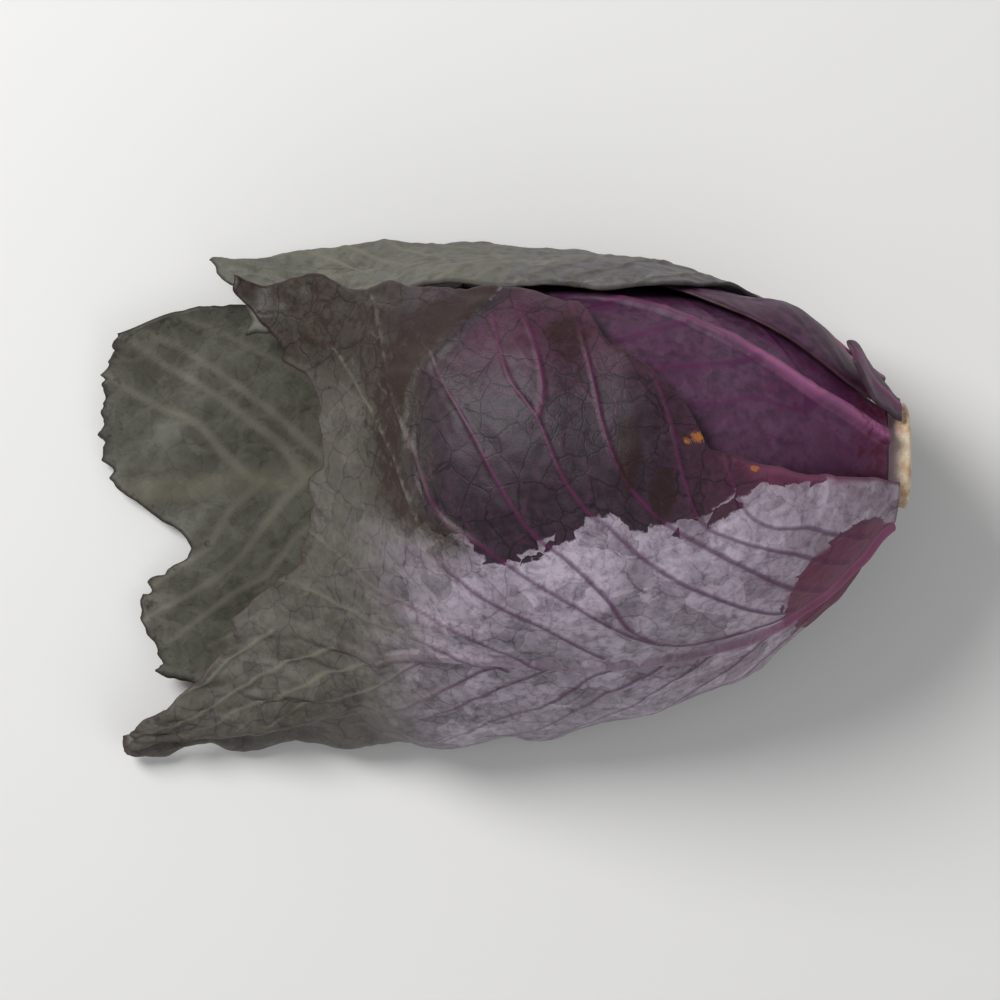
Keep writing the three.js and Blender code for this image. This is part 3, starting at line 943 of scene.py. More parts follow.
@dataclass
class WrapLeaf:
    """A leaf that follows the head, with the same driving dimensions as its solid.

    It runs from base_x along the axis to far_end, which varies from its low margin (0) to its
    high margin (1). The midrib is at rib_at of the way across, at the angle that rib gives.
    """

    name: str
    node: str
    slot: str
    skin: LeafSkin
    base_x: float
    far_end: Curve
    rib: Curve
    low: Place
    high: Place
    layer: Callable[[Array, Array], Array]
    rib_at: float
    rib_half_width: float
    rib_height: float
    ruffle: float = 0.0
    rows: int = 161
    low_columns: int = 60
    rib_columns: int = 16
    high_columns: int = 60
    thickness: float = 0.9
    ragged_margin: float = 0.05
    ragged_end: float = 2.5
    crumple: float = 0.35
    pucker: float = 0.14
    seed: int = 1
    veins: list[Vein] = field(default_factory=list)

    def grid(self) -> LeafGrid:
        """Lays the leaf out over the head, with a ragged outline."""
        low_part = np.linspace(0, self.rib_at, self.low_columns, endpoint=False)
        high_part = np.linspace(self.rib_at, 1, self.high_columns + 1)[1:]
        rib_part = np.linspace(-1, 1, self.rib_columns + 1) * self.rib_half_width
        fraction = np.concatenate([low_part, np.full(len(rib_part), self.rib_at), high_part])
        from_rib = np.concatenate([low_part * 0, rib_part, high_part * 0])
        if len(fraction) % 2 == 0:
            raise ValueError(f"{self.name} needs an odd number of columns")
        side = np.where(fraction < self.rib_at, -1.0, 1.0)
        blank = from_rib * 0
        steps = np.arange(len(fraction)) * 0.55
        far = self.far_end(fraction) + self.ragged_end * noise(steps, blank, 9.0, self.seed + 3, 4)
        along = np.linspace(0, 1, self.rows)[:, None]
        x = lerp(self.base_x, far[None, :], along)
        reach = FORM.half_width(x) + self.layer(x, self.rib(x))
        rib_angle = self.rib(x) + from_rib[None, :] / reach
        in_blade = (fraction < self.rib_at) | (fraction > self.rib_at)
        plain = np.where(
            fraction < self.rib_at, 1 - fraction / self.rib_at, (fraction - self.rib_at) / (1 - self.rib_at)
        )
        start = rib_angle + np.where(in_blade, side * self.rib_half_width, 0.0) / reach
        wander = noise(x, x * 0 + side * 40, 9.0, self.seed + 7, 4)
        to_margin = np.clip(plain[None, :], 0, 1) * (1 - self.ragged_margin * (0.6 + wander))
        low_angle, low_layer = self.low(x)
        high_angle, high_layer = self.high(x)
        lowward = side[None, :] < 0
        margin_angle = np.where(lowward, low_angle, high_angle)
        margin_layer = np.where(lowward, low_layer, high_layer)
        angle = lerp(start, margin_angle, to_margin)
        own = self.layer(x, angle)
        flare = (margin_layer - own) * to_margin ** np.where(lowward, 1.3, 1.6)
        wave = self.ruffle * to_margin**3 * np.sin(x * 0.33 + side[None, :] * 1.3 + angle * 2)
        p = self.base_x - x
        q = reach * (angle - self.rib(x))
        across = np.broadcast_to(side, x.shape)
        return LeafGrid(x, angle, own + flare + wave, p, q, to_margin, across)

    def crumpling(self, g: LeafGrid) -> Array:
        """How far the leaf's middle is pushed out or in by folds, in millimetres."""
        broad = noise(g.p, g.q, 17.0, self.seed + 11, 2)
        small = noise(g.p, g.q, 6.0, self.seed + 13, 2)
        return self.crumple * (broad + 0.35 * small)

    def marks(self, g: LeafGrid, points: Array) -> dict[str, Array]:
        """Where this leaf's finish differs from an even leaf in good order."""
        return {}

    def build(self) -> bpy.types.Object:
        """Makes the leaf's mesh and dresses it."""
        g = self.grid()
        middle = FORM.place(g.x, g.angle, g.layer + self.crumpling(g))
        normal = surface_normals(middle)
        veins = VeinField.over(g.p, g.q, self.veins)
        quilt = self.pucker * quilting(g.p, g.q, 1.3, self.seed + 21, self.seed + 31)
        fade = 1 - 0.9 * np.clip(g.p / np.abs(self.base_x - g.x[-1:, :]), 0, 1)
        on_rib = np.exp(-((g.q / (0.62 * self.rib_half_width)) ** 4))
        midrib = self.rib_height * fade * on_rib
        edge = self.edge_distance(g, middle)
        rounding = rounded(edge)
        half = self.thickness / 2 * (0.25 + 0.75 * rounding)
        lift = (half + rounding * (midrib + veins.relief + quilt))[..., None]
        outer = middle + normal * lift
        inner = (middle - normal * half[..., None])[::2, ::2]
        points, faces = closed_sheet(outer, inner)
        marks = plain_marks(g.p.shape) | {
            "leaf": middle,
            "vein": veins.colour,
            "rib": self.rib_colour(g),
            "margin": np.exp(-((edge / 0.7) ** 2)) * 0.7,
        }
        marks.update(self.marks(g, outer))
        piece = make_mesh(self.name, points, faces, marks_for(marks))
        piece.data.materials.append(self.skin.build())
        place_piece(piece, self.node)
        return piece

    def rib_colour(self, g: LeafGrid) -> Array:
        """How strongly the midrib's colour shows: broad at the base, fading towards the tip."""
        width = self.rib_half_width * (0.5 + 0.3 * smoothstep(-g.p, -45, -5))
        return np.exp(-((g.q / width) ** 4)) * np.clip(1.25 - g.p / 75, 0, 1)

    def edge_distance(self, g: LeafGrid, middle: Array) -> Array:
        """Each point's distance to the leaf's outline, in millimetres, near enough."""
        across = np.linalg.norm(np.diff(middle, axis=1), axis=-1)
        run = np.concatenate([np.zeros((len(across), 1)), np.cumsum(across, axis=1)], axis=1)
        to_side = np.minimum(run, run[:, -1:] - run)
        down = np.linalg.norm(np.diff(middle, axis=0), axis=-1)
        fall = np.concatenate([np.zeros((1, down.shape[1])), np.cumsum(down, axis=0)], axis=0)
        to_end = np.minimum(fall[-1:] - fall, fall + 0.4)
        return np.minimum(to_side, to_end)


def place_piece(piece: bpy.types.Object, node: str) -> None:
    """Puts a piece in the part: on its one body, in place of its solid."""
    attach(piece, "root")
    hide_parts(node)


def degrees(angle: Curve) -> Curve:
    """The same curve in radians."""
    return lambda x: np.radians(angle(x))


@dataclass(frozen=True)
class Spot:
    """A soft oval spot: where its middle lies and how far it reaches, in millimetres."""

    x: float
    y: float
    reach_x: float
    reach_y: float

    def apart(self, x: Array, y: Array) -> Array:
        """How far each place is from the middle, as a share of the spot's reach."""
        return np.hypot((x - self.x) / self.reach_x, (y - self.y) / self.reach_y)


def spotted(x: Array, y: Array, spots: Sequence[Spot], full: float, none: float) -> Array:
    """Lays soft spots over a leaf.

    Args:
        x: Each point's x.
        y: Each point's y.
        spots: The spots.
        full: The share of a spot's reach within which it shows fully.
        none: The share of its reach where it ends.

    Returns:
        How strongly a spot shows at each point, 0 to 1.
    """
    return 1 - smoothstep(np.min([spot.apart(x, y) for spot in spots], axis=0), full, none)


@dataclass
class FrontLeaf(WrapLeaf):
    """The big wrapper: closed over the top, folded at the blunt tip, spread to the floor."""

    fold: Curve = curve((65, 0), (85, -12.7), (99, -14.6), (114, -13.2), (133, -5), (150, 3))
    rub_line: Curve = curve(
        (-16, 8), (-13.5, 2.4), (-8.4, -1.9), (-1, -7.5), (8.4, -5.4), (14.6, -2.4), (21, -0.8),
        (28.3, -1.9), (39.7, 0.3), (46, 4.4), (51.3, 7.6), (60, 12),
    )
    bare_line: Curve = curve((54.4, -15), (56, -12.3), (59.7, -7), (72.2, -1.9))
    bare_from_x: float = 54.3
    blotches: Sequence[Spot] = (Spot(25, 12, 3.2, 9), Spot(31, 5, 3.0, 6), Spot(14, 33, 5, 5))
    specks: Sequence[Spot] = (
        Spot(37.3, 14.9, 1.65, 1.1), Spot(47.6, 9.2, 1.05, 0.7), Spot(35.4, 14.2, 0.9, 0.6)
    )

    def rib_colour(self, g: LeafGrid) -> Array:
        """The wrapper's midrib is broad, and its colour runs on below it to the floor side."""
        width = 1.8 + 2.0 * smoothstep(-g.p, -60, -8) + np.where(g.q < 0, 1.2, 0.0)
        streaks = 0.75 + 0.35 * noise(g.p * 0.15, g.q, 1.1, self.seed + 41, 3)
        return streaks * np.exp(-((g.q / width) ** 6)) * np.clip(1.15 - g.p / 95, 0, 1)

    def past_fold(self, g: LeafGrid) -> Array:
        """How far each point lies on the head's side of the fold, in millimetres along x."""
        return g.x - self.fold(np.degrees(g.angle))

    def crumpling(self, g: LeafGrid) -> Array:
        """Smooth over the head, folded and crumpled where the leaf is loose."""
        on_head = smoothstep(self.past_fold(g), -3, 1) * smoothstep(g.angle, 0.0, 0.35)
        loose = 1 - on_head
        broad = noise(g.p, g.q, 15.0, self.seed + 11, 2)
        creases = np.abs(noise(g.p * 0.45 + g.q * 0.6, g.q - g.p * 0.5, 9.0, self.seed + 5, 2))
        small = noise(g.p, g.q, 4.5, self.seed + 13, 2)
        return 0.3 * broad + 0.1 * small + loose * (0.9 * broad - 1.0 * (creases - 0.3) + 0.25 * small)

    def marks(self, g: LeafGrid, points: Array) -> dict[str, Array]:
        """Rubbed dark on top of the head, pale below, aged and brown past the tip, with painted shade
        towards the back past the fold.
        """
        x, y = points[..., 0], points[..., 1]
        beyond = self.past_fold(g)
        turn = np.degrees(g.angle)
        on_top = smoothstep(turn, 60, 85)
        # Rubbed on top of the head, from the rub line back to just past the fold.
        rubbed = np.minimum(y - self.rub_line(x), beyond * 1.4 + 2.2)
        rubbed = np.where(turn > 40, rubbed, -FAR)
        # Bare near the stump, down over the midrib and in to the leaf's base.
        below_rib = np.clip(-g.q - 2, 0, 40)
        bare = np.minimum(x - self.bare_from_x - 0.55 * below_rib, self.bare_line(x) - y)
        # Rust along the fold, and painted shade behind it: darker and less bloomed towards the back.
        rust = on_top * np.exp(-(((beyond + 2.6) / np.where(beyond > -2.6, 2.2, 6.0)) ** 2))
        painted_shade_at_back = smoothstep(y, 16, 32) * smoothstep(-beyond, 0, 4)
        # A bright lip along the upper margin near the stump, with bare skin below it.
        from_edge = (g.to_margin[:, -1:] - g.to_margin) * 60
        upper_edge = np.exp(-((from_edge / 1.6) ** 2)) * smoothstep(x, 44, 52) * (g.side > 0)
        under_lip = 4.5 - from_edge - 0.5 * np.clip(x - 53, 0, 20) - 0.7 * np.clip(49 - x, 0, 20)
        under_lip = np.where(g.side > 0, under_lip, -FAR)
        worn = np.max([rubbed, bare * 2, under_lip * 1.5], axis=0)
        blotched = spotted(x, y, self.blotches, 0.5, 1.3)
        return {
            "rubbed": np.clip(worn, -FAR, FAR),
            "bloom": np.clip(
                1 - 0.7 * painted_shade_at_back - 0.9 * rust - 0.9 * smoothstep(bare, 0, 1)
                - 0.4 * smoothstep(-x, 2, 30), 0, 1,
            ),
            "aged": np.clip(smoothstep(-x, -14, 48) * 1.1 + 0.4 * rust, 0, 1),
            "blush": np.clip(smoothstep(x, 30, 70) + upper_edge, 0, 1),
            "tint": np.clip(
                smoothstep(bare, -1, 2) + 0.55 * smoothstep(x, 22, 66) + 0.4 * smoothstep(under_lip, -2, 1)
                + 0.25 * smoothstep(y, 18, 34) * smoothstep(beyond, 0, 4), 0, 1,
            ),
            "stain": np.clip(rust * 0.8 + 0.5 * painted_shade_at_back + 0.8 * blotched, 0, 1),
            "speck": spotted(x, y, self.specks, 0.3, 1.2),
            "lip": 0.85 * upper_edge,
        }


def outer_layer(x: Array) -> Array:
    """The outer leaves close in on the stump at their bases, past the ends of the leaves inside."""
    return Layer.OUTER.value * (1 - 0.55 * smoothstep(x, 68, 75.5))


def front_layer(x: Array, angle: Array) -> Array:
    """The front leaf's layer: it stands up in a rounded lip along its fold."""
    turn = np.degrees(angle)
    on_top = smoothstep(turn, 62, 95)
    line = FrontLeaf.fold(turn)
    past = 1 - smoothstep(x, line - 3, line + 3)
    near = np.exp(-(((x - line + 5) / 6) ** 2))
    from_lip = x - line
    lip = np.exp(-((from_lip / np.where(from_lip > 0, 1.1, 3.2)) ** 2))
    return outer_layer(x) + on_top * (0.8 - 1.2 * past - 1.6 * past * near + 1.9 * lip)


# Paths of the front leaf's chief side veins as x and y seen from above, from the midrib out.
UPPER_VEINS = (
    ((54, -18.5), (44, -22), (33.5, -23.8), (23, -20.5), (14.6, -15.4), (3.2, -8.1), (-1, -4.9),
     (-8.4, 0.3), (-13.5, 10.8), (-17.6, 20), (-21.9, 38.9)),
    ((30, -23), (25, -20), (21, -14.3), (13.7, -7), (7.3, -1.9), (1, 7.6), (-3, 14.9), (-8.4, 23.2),
     (-12, 30)),
    ((56, -17), (44, -15.5), (33, -10.5), (26, -5.5), (21.1, -0.8), (17.8, 1.4), (12.6, 8.6),
     (8.4, 18.1), (3.2, 25.4), (0.5, 35.7)),
    ((20.9, -26.5), (10.5, -20.5), (-1, -14.3), (-9.3, -7), (-14.6, 3.4), (-17.7, 10.8), (-21.9, 18.1),
     (-29.2, 28.4)),
    ((62, -13), (52, -11.5), (40, -5.5), (34.6, -2.4), (29.4, 1.4), (24, 7.6), (20.5, 16), (18.4, 25.4),
     (14.6, 38.9)),
    ((8.4, 18.1), (9.5, 23), (7.8, 31), (4.9, 37.3)),
    ((66, -8), (55, -6), (44, -3.5), (38, -0.5), (34.5, 8), (32, 18.6), (29, 26)),
    ((70, -4), (58, -1.5), (49, -0.5), (45.7, 2), (43.2, 8.1), (41.4, 15)),
    ((9.5, -28), (-3, -22.7), (-11.4, -18.6), (-21.9, -12.3), (-34.4, -4)),
    ((3.2, -29), (-9.3, -24.9), (-23.9, -18.6), (-34.4, -15.4), (-44, -14)),
)


def front_veins() -> list[Vein]:
    """The front leaf's side veins, which rise from the midrib and fan out to the tip."""
    random = np.random.default_rng(5)
    veins: list[Vein] = []
    for k, line in enumerate(UPPER_VEINS):
        places = np.array(line, dtype=float)
        x, y = places[:, 0], places[:, 1]
        angle = FORM.angle_over(x, y, Layer.OUTER.value)
        rib = np.radians(FRONT_RIB(x))
        reach = FORM.half_width(x) + Layer.OUTER.value
        path = np.stack([LEAF_BASE_X - x, reach * (angle - rib)], axis=-1)
        wide = 0.55 if k < 5 else 0.42
        veins.append(Vein(path, wide, 0.3, 0.42, 0.24))
        veins += branches(path, 0.28, 0.12, random)
    # The half of the blade below the midrib, which spreads over the floor.
    for k in range(12):
        start = 6 + 11.0 * k + random.uniform(-2, 2)
        t = np.linspace(0, 1, 6)
        path = np.stack([start + 34 * t + 6 * t**2, -1 - 27 * t - 3 * t**2], axis=-1)
        path[1:] += random.normal(0, 0.5, (5, 2))
        veins.append(Vein(path, 0.45, 0.28, 0.28, 0.1))
        veins += branches(path, 0.26, 0.08, random)
    return veins


@dataclass
class TopInnerLeaf(WrapLeaf):
    """The smooth inner leaf whose midrib, pink with a painted highlight along its crest, runs over the
    shoulder to the stump.
    """

    def rib_colour(self, g: LeafGrid) -> Array:
        """Painted highlight: only the crest of the midrib gets the bright rib colour, and it is broader
        towards the stump.
        """
        width = self.rib_half_width * (0.3 + 0.3 * smoothstep(-g.p, -30, -4))
        wander = 0.25 * self.rib_half_width * noise(g.p, g.q * 0, 9.0, self.seed + 43, 2)
        streaks = 0.8 + 0.3 * noise(g.p * 0.12, g.q, 0.8, self.seed + 45, 3)
        crest_highlight = np.exp(-(((g.q - wander) / width) ** 2))
        return np.clip(streaks * crest_highlight * np.clip(1.2 - g.p / 80, 0, 1), 0, 1)

    def marks(self, g: LeafGrid, points: Array) -> dict[str, Array]:
        """Rubbed and glossy, with a thin bloom and a base in its own maroon, darkened with painted shade by
        the stump.
        """
        x = points[..., 0]
        nothing = np.zeros(x.shape)
        return {
            "rubbed": nothing + 0.6 - 3.0 * np.exp(-(((x - 45) / 12) ** 2)),
            "bloom": nothing + 0.55,
            "aged": nothing,
            "blush": smoothstep(x, 36, 60),
            "tint": 0.5 * smoothstep(x, 40, 70),
            # The base's own maroon, deepened by painted shade where the leaf meets the stump.
            "stain": 0.6 * smoothstep(x, 62, 71),
        }


@dataclass
class BackLeaf(WrapLeaf):
    """The dark leaf behind the head."""

    def marks(self, g: LeafGrid, points: Array) -> dict[str, Array]:
        """Dark purple, with little bloom."""
        x = points[..., 0]
        nothing = np.zeros(x.shape)
        return {
            "rubbed": nothing + 0.5,
            "bloom": nothing + 0.5,
            "aged": nothing,
            "blush": smoothstep(x, 45, 70),
            "stain": nothing,
        }


@dataclass
class OuterLeaf(WrapLeaf):
    """A loose outer leaf: grey-green with age, its margins dark and worn."""

    def marks(self, g: LeafGrid, points: Array) -> dict[str, Array]:
        """Bloomed all over, greener towards its tip and margins."""
        x = points[..., 0]
        nothing = np.zeros(x.shape)
        return {
            "rubbed": nothing - 6,
            "bloom": nothing + 0.8,
            "aged": np.clip(0.45 + 0.4 * smoothstep(-x, -40, 40), 0, 1),
            "blush": smoothstep(x, 45, 70),
            "stain": 0.3 * smoothstep(g.to_margin, 0.8, 1.0),
        }


@dataclass
class GroundLeaf:
    """The big leaf under the head: flat where it carries the head, lifting towards its tip.

    Its rows crowd towards the far end, which is the part that shows.
    """

    name: str = "leaf_under_the_head"
    node: str = "ground_leaf"
    slot: str = "outer_leaf_skin"
    rows: int = 321
    columns: int = 241
    rows_crowd: float = 0.72
    thickness: float = 1.1
    clear_of_head: float = 2.2
    set_in: float = 1.4
    seed: int = 70
    front_margin: Curve = curve(
        (74, 5), (62, 0), (50, -10), (30, -24), (0, -36), (-30, -40), (-60, -36), (-76, -30)
    )
    back_margin: Curve = curve(
        (74, 13), (62, 18), (50, 26), (30, 36), (0, 42), (-30, 40), (-60, 38), (-76, 33)
    )
    far_end: Curve = curve((0, -66), (0.2, -67), (0.36, -60), (0.5, -71), (0.75, -75), (1, -72))

    def blade(self, across: Array) -> tuple[Array, Array, Array]:
        """Lays the leaf out, with bites out of its far end.

        Args:
            across: How far each column lies from the front margin, 0 to 1.

        Returns:
            The x and y of each point, and its distance to the outline, all in millimetres.
        """
        along = np.linspace(0, 1, self.rows)[:, None] ** self.rows_crowd
        steps = np.linspace(0, 90, self.columns)
        bites = 3.4 * noise(steps, steps * 0, 11.0, self.seed, 4)
        bites += 1.3 * noise(steps, steps * 0, 2.6, self.seed + 7, 2)
        x = lerp(LEAF_BASE_X - 1.5, self.far_end(across) + bites[None, :], along)
        wander = 2.2 * noise(x, x * 0, 9.0, self.seed + 2, 4) * smoothstep(-x, -50, -20)
        front = self.front_margin(x) + self.set_in + wander
        back = self.back_margin(x) - self.set_in + wander[::-1]
        y = lerp(front, back, across)
        edge = np.minimum(np.minimum(y - front, back - y), np.abs(x - x[-1:, :]) + 0.01)
        return x, y, edge

    def height(self, x: Array, y: Array, across: Array, loose: Array) -> Array:
        """How high the leaf's middle lies.

        Args:
            x: Each point's x.
            y: Each point's y.
            across: How far each column lies from the front margin, 0 to 1.
            loose: 0 where the leaf carries the head, 1 where it is free to lift.

        Returns:
            The height of each point above the floor, in millimetres.
        """
        out = self.clear_of_head * FORM.stretch(x, np.full(x.shape, -math.pi / 2))
        aside = np.clip((y - FORM.axis_y(x)) / (FORM.half_width(x) + out), -1, 1)
        hug = smoothstep(x, 60, 72)
        under = FORM.axis_z(x) - (FORM.half_height(x) + out) * np.sqrt(1 - hug * aside**2)
        rising = np.where(x > FORM.belly_x, under, 0)
        wave = 1 + np.sin(x * 0.21 + y * 0.16) * np.cos(y * 0.19 - 0.6)
        curl = 2.2 * np.abs(2 * across - 1) ** 4
        crumple = 1.9 * (1 + noise(x, y, 14.0, self.seed + 5, 3))
        return np.maximum(self.thickness / 2, rising) + loose * (0.7 * wave + curl + crumple)

    def build(self) -> bpy.types.Object:
        """Makes the leaf's mesh and dresses it."""
        across = np.linspace(1, 0, self.columns)[None, :]
        x, y, edge = self.blade(across)
        loose = smoothstep(-x, 22, 60)
        middle = np.stack([x, y, self.height(x, y, across, loose)], axis=-1)
        normal = surface_normals(middle)
        p, q = LEAF_BASE_X - x, y - FORM.axis_y(x)
        plan = VeinPlan(
            length=150, half_width=40, pairs=8, seed=self.seed, first=0.3, lean=0.8, width=0.95
        )
        veins = VeinField.over(p, q, plan.grow())
        quilt = 0.15 * quilting(p, q, 1.5, self.seed + 11, self.seed + 9)
        rounding = rounded(edge)
        half = self.thickness / 2 * (0.3 + 0.7 * rounding)
        sunk = (0.5 * veins.relief + 0.2 - quilt) * rounding * loose
        outer = middle + normal * (half - sunk)[..., None]
        inner = (middle - normal * half[..., None])[::2, ::2]
        even = np.ones(x.shape)
        marks = plain_marks(x.shape) | {
            "leaf": middle,
            "vein": veins.colour,
            "rib": 0.4 * np.exp(-((q / 2.6) ** 4)),
            "margin": np.exp(-((edge / 0.8) ** 2)) * 0.8,
            "rubbed": -8 * even,
            "bloom": 0.55 * even,
            "aged": 0.92 * even,
            "stain": 0.35 * np.exp(-((edge / 5.0) ** 2)),
        }
        points, faces = closed_sheet(outer, inner)
        piece = make_mesh(self.name, points, faces, marks_for(marks))
        piece.data.materials.append(OUTER_SKIN.build())
        place_piece(piece, self.node)
        return piece


@dataclass
class Heart:
    """The tight inner head, with the margins of its folded leaves as low steps."""

    name: str = "tight_heart"
    node: str = "heart"
    slot: str = "inner_leaf_skin"
    tip_x: float = -11.0
    shoulder_x: float = 8.0
    base_x: float = 67.0
    rings: int = 120
    spokes: int = 180

    def build(self) -> bpy.types.Object:
        """Makes the heart's mesh and dresses it."""
        x = lerp(self.tip_x + 0.02, self.base_x, np.linspace(0, 1, self.rings) ** 1.6)[:, None]
        angle = np.linspace(0, 2 * math.pi, self.spokes, endpoint=False)[None, :]
        to_tip = np.clip((self.shoulder_x - x) / (self.shoulder_x - self.tip_x), 0, 1)
        rounding = np.sqrt(1 - to_tip**2)
        winding = (angle / (2 * math.pi) * 3 + x / 46 + 0.03 * np.sin(x * 0.3)) % 1.0
        step = 0.5 * (winding**6) - 0.3
        layer = np.broadcast_to(Layer.HEART.value - 0.1 + step, (self.rings, self.spokes))
        points = FORM.place(x, angle, layer)
        points[..., 1] = lerp(FORM.axis_y(x), points[..., 1], rounding)
        points[..., 2] = lerp(FORM.axis_z(x), points[..., 2], rounding)
        ends = np.array([[x, FORM.axis_y(x), FORM.axis_z(x)] for x in (self.tip_x, self.base_x)])
        flat, faces = closed_tube(points, ends, mirrored=True)
        even = np.ones(len(flat))
        marks = plain_marks(even.shape) | {"leaf": flat, "rubbed": even, "bloom": 0.5 * even}
        piece = make_mesh(self.name, flat, faces, marks)
        piece.data.materials.append(INNER_SKIN.build())
        place_piece(piece, self.node)
        return piece


@dataclass
class Stump:
    """The woody stalk with its knife-cut end."""

    name: str = "cut_stump"
    node: str = "stump"
    slot: str = "cut_stump"
    start_x: float = 67.5
    cut_x: float = 78.5
    radius: float = 9.8
    bevel: float = 0.9
    spokes: int = 128
    side_rings: int = 30
    face_rings: int = 30

    def rings(self, angle: Array) -> tuple[Array, Array]:
        """The stalk's rings, down its side and then in over the cut face.

        Args:
            angle: The angle of each spoke round the stalk, in radians.

        Returns:
            Each point's x, and its distance from the stalk's axis, in millimetres.
        """
        lumps = 0.06 * noise(np.cos(angle) * 9, np.sin(angle) * 9, 5.0, 81, 3)
        down = np.linspace(0, 1, self.side_rings)[:, None]
        waist = self.radius * (1 - 0.06 * np.sin(down * math.pi)) * (1 + lumps * (0.3 + down))
        side_x = self.start_x + down * (self.cut_x - self.start_x - self.bevel) + angle * 0
        inward = np.linspace(1, 0.02, self.face_rings)[:, None]
        face_r = waist[-1:, :] * inward
        y, z = face_r * np.cos(angle), face_r * np.sin(angle)
        saw = 0.16 * noise(y * 0.4, z * 3.0, 3.0, 83, 3) + 0.2 * noise(y, z, 7.0, 84, 2)
        face_x = self.cut_x - self.bevel + self.bevel * (1 - inward**14)
        face_x = face_x - 0.35 * (1 + saw) * smoothstep(-inward, -1.0, -0.8)
        return np.concatenate([side_x, face_x[1:]]), np.concatenate([waist, face_r[1:]])

    def build(self) -> bpy.types.Object:
        """Makes the stump's mesh and dresses it."""
        angle = np.linspace(0, 2 * math.pi, self.spokes, endpoint=False)[None, :]
        x, r = self.rings(angle)
        axis_y = float(FORM.axis_y((self.start_x + self.cut_x) / 2))
        axis_z = float(FORM.axis_z(self.start_x))
        points = np.stack([x, axis_y + r * np.cos(angle), axis_z + r * np.sin(angle)], axis=-1)
        ends = np.array([[self.start_x, axis_y, axis_z], [float(x[-1].mean()), axis_y, axis_z]])
        flat, faces = closed_tube(points, ends, mirrored=False)
        share = r / self.radius
        ring = np.exp(-(((share - 0.78) / 0.07) ** 2))
        on_side = (np.arange(len(x)) < self.side_rings)[:, None]
        skin = on_side * smoothstep(-x, -77.0, -74.0)
        marks = {
            "leaf": flat - np.array([70.0, 0, 0]),
            "dry": np.append(0.35 * ring + 0.5 * share**6, [0.2, 0.2]),
            "skin": np.append(skin, [1, 0]),
        }
        piece = make_mesh(self.name, flat, faces, marks)
        piece.data.materials.append(CutStem().build())
        place_piece(piece, self.node)
        return piece


# ---------------------------------------------------------------------------
# The cabbage
# ---------------------------------------------------------------------------

FRONT_SKIN = LeafSkin(name="wrapper_leaf_waxy_skin", tinted="#6f2449")
INNER_SKIN = LeafSkin(
    name="inner_leaf_glossy_skin", flesh="#2c0b24", flesh_light="#48193d", tinted="#641550",
    # The rib colours paint the highlight along the inner leaf's midrib crest, over the midrib's own pink.
    bloom="#7a6378", vein="#4c1440", vein_in_bloom="#5c3a56", rib="#7a4466", rib_bright="#a3608a",
    # Dark maroon for stains, and for the painted shade at the inner leaf's base by the stump.
    stain="#430f1c", bloom_strength=0.6, net_strength=0.12, rubbed_bloom=0.5,
)
OUTER_SKIN = LeafSkin(
    name="outer_leaf_aged_skin", flesh="#241a20", flesh_light="#3a3034", aged="#37342a",
    bloom="#8f8a94", aged_bloom="#74746a", vein="#26211b", vein_in_bloom="#3b382f", net="#1c1712",
    net_in_bloom="#3d3a31", rib="#6f6a5a", margin="#1d1512", stain="#231913", bloom_strength=0.85,
    net_strength=0.35,
)


